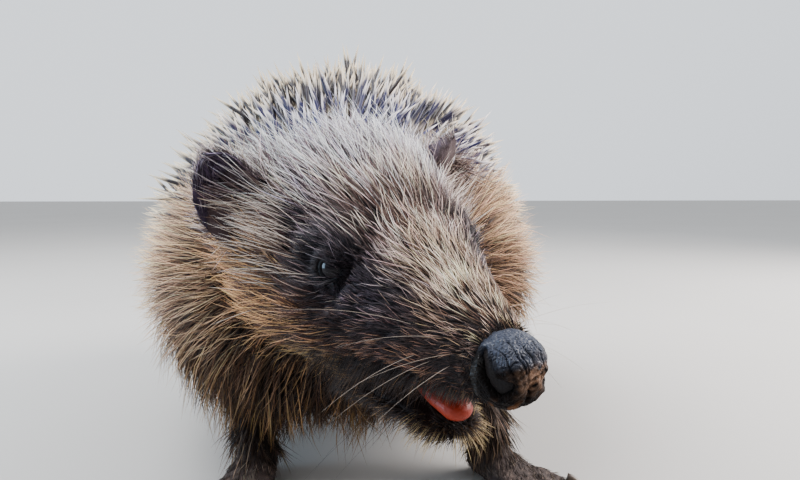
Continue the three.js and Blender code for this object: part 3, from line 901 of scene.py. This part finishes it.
def patch_uv(faces, sides, rings):
    """Where each face corner of one solid lies on its own small patch: round it goes across, along it up."""
    places = []
    for face in faces:
        steps = [v % sides if v < rings * sides else None for v in face]
        wraps = len(face) < sides * 2 and {0, sides - 1} <= set(steps)
        for v, step in zip(face, steps):
            if step is None:  # the tip, over the middle of its face
                step = steps[0] + 0.5
            elif wraps and step == 0:
                step = sides
            places.append((step / sides * UV_PATCH, min(v // sides, rings) / rings * UV_PATCH))
    return np.array(places)


def triangles_in_solid(sides, rings):
    return (sides - 2) + 2 * sides * (rings - 1) + sides


def coat_piece(name, lines, radius, colours, places, sides, material):
    """One mesh of many hairs. `colours` has one for each step of each line, `places` each root's unwrap."""
    count, steps, _ = lines.shape
    rings = steps - 1
    lines[:, :, 2] = np.maximum(lines[:, :, 2], radius + FLOOR_GAP)
    points, faces = solids_along(lines, radius, sides)
    per = points.shape[1]
    corner = np.array([v for face in faces for v in face])
    starts = np.cumsum([0] + [len(face) for face in faces])[:-1]
    corners = (corner[None, :] + np.arange(count)[:, None] * per).ravel()
    face_starts = (starts[None, :] + np.arange(count)[:, None] * len(corner)).ravel()
    mesh = bpy.data.meshes.new(name)
    mesh.vertices.add(count * per)
    put_points(mesh, points.reshape(-1, 3))
    mesh.loops.add(len(corners))
    mesh.loops.foreach_set("vertex_index", corners.astype(np.int32))
    mesh.polygons.add(len(face_starts))
    mesh.polygons.foreach_set("loop_start", face_starts.astype(np.int32))
    mesh.update(calc_edges=True)
    mesh.shade_smooth()
    ringed = np.repeat(colours[:, :rings], sides, axis=1)
    put_colours(mesh, "coat", np.concatenate([ringed, colours[:, -1:]], axis=1).reshape(-1, 3))
    uv = patch_uv(faces, sides, rings)[None] + (places * (1 - UV_PATCH))[:, None, :]
    mesh.uv_layers.new(name="OFBake").data.foreach_set("uv", uv.astype(np.float32).ravel())
    return link(name, mesh, material)


def round_body(points):
    """An unwrap of the body's form: angle round its long axis, then length along it."""
    angle = np.arctan2(points[:, 0] - 1.5, points[:, 2] - 50) / (2 * math.pi) + 0.5
    return np.stack([angle, (points[:, 1] + 70) / 185], axis=1)


def round_head(points):
    """An unwrap of the head: angle round the line from nose to neck, then length along it."""
    h = to_head(points)
    angle = np.arctan2(h[:, 0], h[:, 2] + 8 - 0.12 * h[:, 1]) / (2 * math.pi) + 0.5
    return np.stack([angle, (h[:, 1] + 38) / 85], axis=1)


def stretch(places):
    """Stretches one piece's unwrap to the whole square."""
    low, high = places.min(axis=0), places.max(axis=0)
    return (places - low) / np.maximum(high - low, 1e-6)


def coat_pieces(name, roots, lines, radius, colours, unwrap, sides, material):
    """A coat, cut across the body into pieces of up to MOST_TRIANGLES."""
    triangles = len(roots) * triangles_in_solid(sides, lines.shape[1] - 1)
    pieces = math.ceil(triangles / MOST_TRIANGLES)
    for i, chosen in enumerate(np.array_split(np.argsort(roots[:, 1]), pieces)):
        coat_piece(f"{name}_{i + 1}", lines[chosen], radius[chosen], colours[chosen],
                   stretch(unwrap(roots[chosen])), sides, material)


def ear_rim(points):
    """1 on the ears' rims, 0 in their middles."""
    away = fold(to_head(points)) - EAR_MIDDLE
    up = away @ EAR_UP / EAR_HALF[1]
    return smoothstep(np.hypot(away @ EAR_ACROSS / EAR_HALF[0], up), 0.65, 0.95) * smoothstep(up, -0.4, 0.1)


def in_front_of_ear(roots):
    return mound(fold(to_head(roots)), [22.5, 13.5, 7], [6, 6, 9])


def hair_coat(name, ground, wanted, rings, unwrap, material, seed):
    """Hair over the zones that `wanted` weighs (a share per vertex)."""
    rng = np.random.default_rng(seed)
    density = blend(ground.zones, DENSITY) * wanted * (1 - ground.bare)
    roots, normals, zones, depth = ground.scatter(density, rng)
    count = len(roots)
    lock = locks_of(roots, rng)
    # Each hair's rank says what kind it is: dark and low, middling, or pale, long and on top.
    rank = 0.6 * rng.random(count) + 0.4 * rng.random(count)[lock] + 0.05 * waves(roots, 7, 12)
    rank = rank.argsort().argsort() / count
    h = to_head(roots)
    rim = ear_rim(roots) * (zones["ear"] + zones["ear_back"])
    by_nose = 1 - smoothstep(h[:, 1], -30, -23)
    by_spines = smoothstep(behind_crown_line(h), -11, 1) * smoothstep(h[:, 2], 2, 10)
    share = blend(zones, PALE_SHARE) * (1 - 0.25 * by_nose) * (1 - 0.6 * by_spines) + 0.3 * rim
    pale = smoothstep(rank - 1 + share, -0.05, 0.05)
    dark = 1 - smoothstep(rank - 0.16 * by_spines, 0.36, 0.5)
    over_ear = in_front_of_ear(roots) * pale

    flow = lie(roots, normals, zones)
    length = blend(zones, LENGTH) * rng.uniform(0.75, 1.12, count) * (1 + 0.1 * waves(roots, 6, 8))
    stray = by_spines * (rng.random(count) < 0.1)
    length = length * (1 - 0.6 * by_nose) * (1 + 0.7 * rim) * (1 - 0.24 * by_spines + 0.5 * stray)
    length = keep_off_eyes(roots, flow, length * (1 - 0.25 * dark + 0.3 * pale + 0.2 * over_ear))
    height = depth * blend(zones, LIFT) * rng.uniform(0.8, 1.15, count) * (0.8 - 0.35 * dark + 0.2 * pale)
    height = height * (1 + 0.7 * over_ear + 1.5 * rim + 0.75 * by_spines + 0.6 * stray)
    lines = hair_lines(roots, normals, flow, length, np.minimum(height, length * 0.8), rings, rng)
    lines = gathered(lines, normals, lock, rng.uniform(0.3, 0.8, count) * (1 - 0.35 * pale))

    thick = blend(zones, THICKNESS) / 2 * rng.uniform(0.75, 1.2, count) * (1 - 0.2 * by_nose)
    s = np.linspace(0, 1, rings + 1)
    radius = thick[:, None] * (1 - 0.72 * s ** 1.6)
    # Painted shade: hair near the spines is made up to a quarter darker.
    colours = hair_colours(zones, pale, dark, lock, s, rng) * (1 - 0.25 * by_spines)[:, None, None]
    coat_pieces(name, roots, lines, radius, colours, unwrap, 3, material)


def hair_colours(zones, pale, dark, lock, s, rng):
    """Dark at the root, partly the hair's own darker base and partly painted shade deep in the coat, and the
    hair's own colour further out. The hairs of a lock differ less.
    """
    own = mix(blend(zones, MIDDLE), blend(zones, PALE), pale[:, None])
    own = mix(own, blend(zones, ROOT) * 1.5, dark[:, None])
    own = own * rng.normal(1, 0.16, (len(pale), 1)).clip(0.6, 1.4) * rng.normal(1, 0.04, (len(pale), 3))
    own = own * rng.normal(1, 0.17, (len(pale), 1)).clip(0.55, 1.4)[lock]
    own = own * rng.normal(1, [0.03, 0.02, 0.07], (len(pale), 3)).clip(0.8, 1.2)[lock]
    # Painted shade: the roots are darker still than the roots' colour.
    root = blend(zones, ROOT) * 0.7
    start = rng.uniform(0.08, 0.42, len(pale))
    steps = [mix(root, own, smoothstep(place, start, start + 0.35)[:, None]) for place in s]
    return np.clip(np.stack(steps, axis=1), 0.002, 0.95)


# ---------------------------------------------------------------- spines

# At these places along a spine, its girth and how far its colour is the dark band's.
SPINE_STEPS = np.array([0, 0.30, 0.40, 0.70, 0.78, 1.0])
SPINE_GIRTH = np.array([0.6, 1.0, 1.0, 0.88, 0.78, 0.0])
SPINE_BAND = np.array([0.1, 0.1, 1, 1, 0.05, 0])
FIRST_ROWS_BAND = np.array([1, 1, 1, 0.8, 0.1, 0])
SPINE_CREAM = linear(212, 192, 162)
SPINE_DARK = linear(46, 37, 38)
# The cream and the dark band under a painted bluish sheen of the sky.
SKY_SHEEN_CREAM = linear(200, 196, 206)
SKY_SHEEN_DARK = linear(40, 41, 98)


def thinned(roots, spacing):
    """Keeps roots that are at least their own `spacing` from the ones kept before them."""
    tree = KDTree(len(roots))
    for i, root in enumerate(roots):
        tree.insert(root, i)
    tree.balance()
    kept = np.ones(len(roots), bool)
    for i, root in enumerate(roots):
        if kept[i]:
            for _, other, _ in tree.find_range(root, spacing[i]):
                if other > i:
                    kept[other] = False
    return kept


def spine_coat(ground, material):
    """Banded spines, evenly spaced. Those of the first rows have dark roots, and high on the crown they
    carry a painted bluish sheen of the sky.
    """
    rng = np.random.default_rng(5)
    roots, normals, zones, _ = ground.scatter(smoothstep(ground.spiny, 0.3, 0.7) * 1.5, rng)
    order = rng.permutation(len(roots))
    behind = behind_crown_line(to_head(roots))
    crown = 1 - smoothstep(behind, 2, 24)  # the first rows are thinner, shorter, closer and lie lower
    order = order[thinned(roots[order], SPINE_SPACING * (1 - 0.26 * crown[order]))]
    roots, normals, behind, crown = roots[order], normals[order], behind[order], crown[order]
    count = len(roots)
    flow = lie(roots, normals, {zone: share[order] for zone, share in zones.items()})
    side = np.cross(flow, normals)

    length = SPINE_LENGTH * rng.uniform(0.8, 1.06, count) * (1 - 0.45 * crown)
    lift = np.radians(rng.normal(31, 7, count) - 9 * crown + 6 * waves(roots, 16, 31))
    sway = np.radians(rng.normal(0, 13, count) + 12 * waves(roots, 13, 32))
    aim = flow * np.cos(sway)[:, None] + side * np.sin(sway)[:, None]
    aim = aim * np.cos(lift)[:, None] + normals * np.sin(lift)[:, None]
    lines = (roots - normals * 0.6)[:, None, :] + (aim * length[:, None])[:, None, :] * SPINE_STEPS[:, None]
    bend = side * rng.normal(0, 0.35, count)[:, None]
    lines += bend[:, None, :] * (SPINE_STEPS * (1 - SPINE_STEPS) * 4)[:, None]
    radius = (SPINE_RADIUS * rng.uniform(0.85, 1.12, count) * (1 - 0.28 * crown))[:, None] * SPINE_GIRTH

    # Painted sky sheen on the front rows, high on the crown.
    painted_sky_sheen = ((1 - smoothstep(behind, 12, 34)) * smoothstep(roots[:, 2], 64, 80))[:, None, None]
    first = (1 - smoothstep(behind, 9, 20)) * (rng.random(count) < 0.8)
    band = mix(SPINE_BAND, FIRST_ROWS_BAND, first[:, None])[:, :, None]
    colours = mix(mix(SPINE_CREAM, SKY_SHEEN_CREAM, painted_sky_sheen), mix(SPINE_DARK, SKY_SHEEN_DARK, painted_sky_sheen), band)
    colours = colours * rng.uniform(0.7, 1.12, count)[:, None, None]
    # Painted shade: each spine is darker towards its root, deep among the others.
    colours = np.clip(colours * mix(0.45, 1, smoothstep(SPINE_STEPS, 0, 0.45))[:, None], 0.003, 0.95)
    coat_pieces("spines", roots, lines, radius, colours, round_body, 4, material)


# ---------------------------------------------------------------- eyes, tongue, claws, whiskers

def ball(name, centre, radius, material):
    made = bmesh.new()
    bmesh.ops.create_uvsphere(made, u_segments=48, v_segments=32, radius=radius * 0.001)
    bmesh.ops.translate(made, verts=made.verts, vec=Vector(to_row(centre)))
    mesh = bpy.data.meshes.new(name)
    made.to_mesh(mesh)
    made.free()
    mesh.shade_smooth()
    return link(name, mesh, material)


TONGUE_ROOT = np.array([-2.8, -3.0, -22.0])
TONGUE_DRAW = np.array([0.85, 0.96, 1.0])  # the tongue is a little narrower and shorter than its solid


def soft_tongue():
    """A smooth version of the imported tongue."""
    mesh = voxel_surface(*node_arrays("tongue"), TONGUE_VOXEL)
    points, _ = read_mesh(mesh)
    h = to_head(smoothed(points, mesh_edges(mesh), 6, 0.6))
    shape(mesh, from_head(TONGUE_ROOT + (h - TONGUE_ROOT) * TONGUE_DRAW))
    flesh = wet_material("tongue", linear(130, 36, 15), roughness=0.5, bumps=0.00016, gloss=0.2, film=0.05)
    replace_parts(link("tongue_flesh", mesh, flesh), "tongue")


def on_skin(tree, head_point):
    """The skin's place and normal nearest to a point in the head's frame."""
    place, normal, _, _ = tree.find_nearest(Vector(from_head(head_point)))
    return np.array(place), np.array(normal)


def one_hair(tree, head_place, aim, lift, length, droop, s):
    """The centre line of a hair that leaves the skin near a place, both it and `aim` in the head's frame."""
    root, normal = on_skin(tree, head_place)
    aim = unit(unit(aim @ HEAD_TURN.T) + normal * lift)
    return root + (aim * s + droop * s ** 2) * length


def tapered(width, thin, lines, s):
    """A radius for each step of each line, down to 1 - `thin` of its start."""
    return width / 2 * (1 - thin * s.ravel())[None, :] * np.ones((len(lines), 1))


def whiskers(tree, material):
    """Long stiff hairs in four rows on each side of the muzzle."""
    rng = np.random.default_rng(11)
    lines, colours = [], []
    s = np.linspace(0, 1, 11)[:, None]
    for side in (1, -1):
        for row in range(4):
            for column in range(3):
                y = -25 + column * 3.2 + rng.normal(0, 0.5)
                z = -7.2 - row * 1.9 + rng.normal(0, 0.3)
                out = side * rng.uniform(0.35, 0.8)
                aim = np.array([out, rng.uniform(0.15, 0.75), -0.12 * row + rng.normal(0, 0.18)])
                length = rng.uniform(15, 32) * (0.7 + 0.08 * column)
                droop = np.array([0, 0.25, -0.4 - 0.3 * rng.random()]) * 0.45
                lines.append(one_hair(tree, [side * 7, y, z], aim, 0.9, length, droop, s))
                pale = rng.random() < 0.6
                colours.append(np.tile(linear(176, 160, 146) if pale else linear(48, 38, 36), (len(s), 1)))
    lines = np.array(lines)
    coat_piece("whiskers", lines, tapered(0.074, 0.8, lines, s), np.array(colours),
               stretch(round_head(lines[:, 0])), 3, material)


def bristles(name, tree, material, places, aims, lengths, droop, width, colours):
    """Loose hairs from given places, each with its own aim (both in the head's frame) and length."""
    s = np.linspace(0, 1, colours.shape[1])[:, None]
    fall = np.array([0, 0.3, -0.6]) * droop
    lines = np.array([
        one_hair(tree, place, aim, 0.5, length, fall, s) for place, aim, length in zip(places, aims, lengths)
    ])
    coat_piece(name, lines, tapered(width, 0.75, lines, s), colours, stretch(round_head(lines[:, 0])), 3,
               material)


def lip_colours(count, rng):
    """Dark brown, with one tip in ten pale."""
    s = np.linspace(0, 1, 4)[:, None]
    tips = mix(linear(46, 33, 28), linear(140, 106, 74), (rng.random((count, 1, 1)) > 0.9) * 1.0)
    return mix(linear(22, 16, 16), tips, s) * rng.uniform(0.7, 1.15, (count, 1, 1))


def round_chin(angle, out, z):
    """Places round the tip of the lower jaw."""
    return columns(4.8 * np.sin(angle) * out, -13.5 - 6 * np.cos(angle) * out, z)


def chin_fringe(tree, material):
    """Thin pale bristles that stand out round the tip of the lower jaw and curve down."""
    rng = np.random.default_rng(12)
    count = 170
    angle = rng.uniform(-1.9, 1.9, count)
    places = round_chin(angle, 1, rng.uniform(-28.3, -24.6, count))
    aims = columns(0.8 * np.sin(angle), -0.35 * np.cos(angle), rng.normal(-0.6, 0.25, count))
    s = np.linspace(0, 1, 6)[:, None]
    colours = mix(linear(92, 68, 42), linear(232, 204, 150), s) * rng.uniform(0.5, 1.1, (count, 1, 1))
    lengths = rng.uniform(1.3, 4.6, count)
    bristles("chin_bristles", tree, material, places, aims, lengths, droop=0.45, width=0.13, colours=colours)


def chin_cover(tree, material):
    """Short dark hair over the tip of the lower jaw, between the tongue and the fringe."""
    rng = np.random.default_rng(17)
    count = 900
    angle = rng.uniform(-1.9, 1.9, count)
    out = rng.uniform(0.7, 1.05, count)
    places = round_chin(angle, out, rng.uniform(-26.8, -25.0, count))
    aims = columns(
        0.9 * np.sin(angle) + rng.normal(0, 0.25, count),
        -0.9 * np.cos(angle),
        rng.normal(0.1, 0.3, count),
    )
    lengths = rng.uniform(0.9, 2.1, count)
    colours = lip_colours(count, rng)
    bristles("chin_hair", tree, material, places, aims, lengths, droop=0.6, width=0.13, colours=colours)


def nose_fringe(tree, material):
    """Very short dark hair that overlaps the rear edge of the nose pad."""
    rng = np.random.default_rng(18)
    count = 420
    angle = rng.uniform(0, 2 * math.pi, count)
    places = columns(5.6 * np.cos(angle), rng.uniform(-28.6, -26.6, count), -11.0 + 5.2 * np.sin(angle))
    aims = columns(
        0.5 * np.cos(angle) + rng.normal(0, 0.25, count),
        rng.normal(-0.9, 0.2, count),
        0.5 * np.sin(angle) + rng.normal(0, 0.25, count),
    )
    lengths = rng.uniform(0.8, 1.8, count)
    colours = lip_colours(count, rng) * 0.8
    bristles("nose_hair", tree, material, places, aims, lengths, droop=0.2, width=0.12, colours=colours)


def lip_fringe(tree, material):
    """Hair that hangs from both sides of the upper lip over the mouth."""
    rng = np.random.default_rng(13)
    count = 2400
    y = rng.uniform(-27, 8, count)
    side = rng.choice([-1, 1], count)
    angle = np.radians(rng.uniform(35, 72, count))
    half = np.interp(y, [-28, -19, -12, -6, 0, 8], [6, 9.4, 12.2, 15, 17.4, 21])
    middle, low = np.interp(y, [-28, 0, 8], [-11, -6.5, -5.5]), np.interp(y, *LIP_LINE)
    places = columns(side * half * np.cos(angle), y, middle + (low - middle) * np.sin(angle))
    aims = columns(
        side * rng.normal(0.18, 0.12, count),
        rng.normal(0.5, 0.15, count),
        rng.normal(-1, 0.15, count),
    )
    lengths = rng.uniform(2.6, 4.6, count) * np.interp(y, [-27, -19, -12, 8], [0.5, 0.9, 1.5, 1.7])
    colours = lip_colours(count, rng)
    bristles("lip_hair", tree, material, places, aims, lengths, droop=0.15, width=0.11, colours=colours)


def jaw_fringe(tree, material):
    """Short hair along the lower lip, which lies back and down over the jaw."""
    rng = np.random.default_rng(15)
    count = 1300
    y = rng.uniform(-19, 3, count)
    side = rng.choice([-1, 1], count)
    half = np.interp(y, [-19.5, -18.5, -16.5, -11, -3, 4], [0.5, 3, 4.8, 6.8, 9.8, 12])
    places = columns(side * half, y, np.interp(y, *JAW_LINE) - rng.uniform(-0.3, 2.6, count))
    aims = columns(
        side * rng.normal(0.5, 0.2, count),
        rng.normal(0.7, 0.2, count),
        rng.normal(-0.3, 0.25, count),
    )
    lengths = rng.uniform(1.8, 3.6, count)
    colours = lip_colours(count, rng)
    bristles("jaw_hair", tree, material, places, aims, lengths, droop=0.2, width=0.13, colours=colours)


def lid_fringe(tree, material):
    """Very short dark hairs that stand away from each eye and cover its lids."""
    rng = np.random.default_rng(16)
    count = 900
    side = rng.choice([-1, 1], count)
    angle = rng.uniform(0, 2 * math.pi, count)
    reach = rng.uniform(2.0, 3.4, count)
    look = unit(EYE_LOOK)
    front = unit(np.array([0, -1, 0]) + look * look[1])
    away = np.cos(angle)[:, None] * front + np.sin(angle)[:, None] * np.cross(front, look)
    places = mirrored(EYE + look * 2.6 + away * reach[:, None], side)
    aims = mirrored(away + [0, 0.35, 0], side)
    s = np.linspace(0, 1, 4)[:, None]
    colours = mix(linear(12, 9, 11), linear(40, 31, 36), s) * rng.uniform(0.7, 1.3, (count, 1, 1))
    lengths = rng.uniform(0.9, 1.9, count)
    bristles("lid_hair", tree, material, places, aims, lengths, droop=0.1, width=0.11, colours=colours)


def ear_fringe(ground, material):
    """Long pale hairs from in front of each ear that cross its opening."""
    rng = np.random.default_rng(14)
    off_ears = 1 - ground.zones["ear"] - ground.zones["ear_back"]
    roots, normals, _, _ = ground.scatter(4.6 * in_front_of_ear(ground.points) * off_ears ** 2, rng)
    count = len(roots)
    side = np.sign(to_head(roots)[:, 0])
    aims = columns(
        side * rng.normal(0.7, 0.16, count),
        rng.normal(0.5, 0.15, count),
        rng.normal(0.45, 0.2, count),
    )
    aims = unit(unit(aims @ HEAD_TURN.T) + normals * 0.45)
    s = np.linspace(0, 1, 5)[:, None]
    droop = np.array([0, 0.3, -0.6]) * 0.12
    length = rng.uniform(6, 14, count)[:, None, None]
    lines = roots[:, None, :] + (aims[:, None, :] * s + droop * s ** 2) * length
    tips = mix(linear(128, 106, 96), linear(236, 220, 206), (rng.random((count, 1, 1)) > 0.4) * 1.0)
    colours = mix(linear(52, 42, 44), tips, smoothstep(s, 0.0, 0.45)) * rng.uniform(0.7, 1.05, (count, 1, 1))
    coat_piece("ear_hair", lines, tapered(0.15, 0.7, lines, s), colours, stretch(round_head(roots)), 3,
               material)


def claw_ends(name):
    """The middles of a packed claw's base and tip: the base is its wider end."""
    points, _ = node_arrays(name)
    middle = points.mean(axis=0)
    spread = np.linalg.svd(points - middle)[2][0]
    spread = spread if spread[1] < 0 or abs(spread[1]) < 0.2 else -spread
    along = (points - middle) @ spread
    rear, front = points[along < along.min() + 0.8], points[along > along.max() - 0.5]
    base, tip = rear.mean(axis=0), front.mean(axis=0)
    if np.ptp(rear, axis=0).max() < np.ptp(front, axis=0).max():
        base, tip = tip, base
    return base, tip


def claws(material):
    """All the claws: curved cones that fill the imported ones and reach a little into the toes."""
    names = sorted(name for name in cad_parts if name.startswith("claw_"))
    s = np.linspace(0, 1, 9)
    lines = []
    for name in names:
        base, tip = claw_ends(name)
        base = base - unit(tip - base) * 0.7
        line = base + (tip - base) * s[:, None]
        line[:, 2] += 0.9 * (s * (1 - s)) * 1.6
        lines.append(line)
    lines = np.array(lines)
    radius = np.tile(1.05 * (1 - s ** 1.7) + 0.02, (len(lines), 1))
    colours = np.tile(mix(linear(70, 56, 46), linear(150, 130, 108), s[:, None] ** 2), (len(lines), 1, 1))
    places = stretch(round_body(lines[:, 0]))
    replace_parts(coat_piece("claws", lines, radius, colours, places, 10, material), *names)


# ---------------------------------------------------------------- skin colours

def skin_object(mesh, points, normals, shares, mouth):
    """The skin with its markings and painted shade, in place of all the flesh solids but the eyes and the
    nose.
    """
    h = to_head(points)
    zones = zone_shares(points, shares, normals)
    knuckle = smoothstep(waves(points, 1.6, 40), 0.2, 1.0) * shares["foot"]
    lids = 1 - smoothstep(near_eye(h), EYE_RADIUS + 0.3, EYE_RADIUS + 1.8)
    # Painted shade: the mouth's inside is painted dark red, darker still towards the throat.
    inner = tint(linear(34, 14, 11), (15, 7, 6), smoothstep(h[:, 1], -20, -8))
    # Under the coat the skin takes the hairs' dark root colours, partly as painted shade between the hairs.
    colour = tint(blend(zones, ROOT), (58, 48, 45), shares["foot"] + shares["tail"])
    colour = tint(colour, (112, 97, 88), 0.5 * knuckle)
    colour = tint(colour, (72, 60, 78), zones["ear"])
    colour = tint(colour, (3, 2, 3), lids)
    colour = mix(colour, inner, np.clip(mouth, 0, 1)[:, None])
    colour = tint(colour, (20, 17, 18), shares["nose"])
    shape(mesh, points)
    put_colours(mesh, "markings_and_painted_light", colour)
    put_values(mesh, "wet", np.clip(0.3 * mouth + 0.3 * lids, 0, 1))
    skin = link("skin", mesh, skin_material())
    flesh = [name for region in REGIONS for name in FLESH[region]]
    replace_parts(skin, *[name for name in flesh if not name.startswith(("eye", "nose"))])


# ---------------------------------------------------------------- stage, lights and camera

def add_floor():
    half = FLOOR_SIZE / 2
    corners = [(-half, -half, 0), (half, -half, 0), (half, half, 0), (-half, half, 0)]
    mesh = bpy.data.meshes.new("floor")
    mesh.from_pydata(corners, [], [(0, 1, 2, 3)])
    mesh.materials.append(floor_material())
    floor = bpy.data.objects.new("floor", mesh)
    bpy.context.scene.collection.objects.link(floor)


def add_sky():
    """Bright above and behind the animal, dim on its face's side."""
    world = bpy.data.worlds.new("studio")
    bpy.context.scene.world = world
    world.use_nodes = True
    tree = world.node_tree
    place = node(tree, "ShaderNodeTexCoord").outputs["Generated"]
    toward = node(tree, "ShaderNodeVectorMath", {0: place, 1: BRIGHT_SIDE}, operation="DOT_PRODUCT")
    limits = {"From Min": -0.75, "From Max": 0.75, "To Min": 0.16, "To Max": 1.5}
    strength = node(tree, "ShaderNodeMapRange", {"Value": toward.outputs["Value"], **limits},
                    interpolation_type="SMOOTHSTEP")
    colour_and_strength = {"Color": (0.88, 0.93, 1.0, 1), "Strength": strength.outputs["Result"]}
    feed(tree, tree.nodes["Background"], colour_and_strength)


def area_light(name, place, target, size, power, colour):
    """A square lamp that faces its target."""
    data = bpy.data.lights.new(name, "AREA")
    data.size, data.energy, data.color = size, power, colour
    obj = bpy.data.objects.new(name, data)
    obj.location = place
    obj.rotation_euler = (Vector(target) - Vector(place)).to_track_quat("-Z", "Y").to_euler()
    bpy.context.scene.collection.objects.link(obj)


def place_camera():
    data = bpy.data.cameras.new("camera")
    data.sensor_width = 36.0
    data.lens = CAMERA_LENS
    data.clip_start = 0.005
    obj = bpy.data.objects.new("camera", data)
    obj.location = to_row(CAMERA_PLACE)
    obj.rotation_euler = (math.radians(90 + CAMERA_TILT), 0, math.radians(-CAMERA_TURN))
    bpy.context.scene.collection.objects.link(obj)
    bpy.context.scene.camera = obj


# ---------------------------------------------------------------- the animal

def build():
    add_floor()
    add_sky()
    for name, light in LIGHTS.items():
        area_light(name, *light)
    place_camera()
    mesh, points, triangles, normals, shares, mouth, depth = make_skin()
    skin_object(mesh, points, normals, shares, mouth)
    nose_pad()
    ground = Ground(points, triangles, normals, shares, mouth, depth)

    hair = coat_material("hair", roughness=0.5, specular=0.2)
    limbs, long, fine = (sum(ground.zones[zone] for zone in group) for group in (LIMBS, LONG, FINE))
    face = np.clip(1 - limbs - long - fine, 0, 1)
    hair_coat("limb_hair", ground, limbs, 2, round_body, hair, seed=21)
    hair_coat("body_hair", ground, long, 3, round_body, hair, seed=22)
    hair_coat("short_face_hair", ground, fine, 3, round_head, hair, seed=23)
    hair_coat("face_hair", ground, face, 4, round_head, hair, seed=24)
    spine_coat(ground, coat_material("spine", roughness=0.4, specular=0.35))
    tree = BVHTree.FromPolygons(points.tolist(), triangles.tolist())
    for loose in (whiskers, chin_fringe, chin_cover, lip_fringe, nose_fringe, jaw_fringe, lid_fringe):
        loose(tree, hair)
    ear_fringe(ground, hair)
    claws(coat_material("horn", roughness=0.35, specular=0.4))

    black = np.array([0.003, 0.0025, 0.004])
    eye = wet_material("eye", black, roughness=0.05, bumps=0.000003, gloss=0.14, film=0.0)
    for name, side in (("left", 1), ("right", -1)):
        piece = ball(f"eyeball_{name}", from_head(EYE * [side, 1, 1]), EYE_RADIUS, eye)
        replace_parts(piece, f"eye_{name}")
    soft_tongue()


build()
bpy.context.view_layer.update()
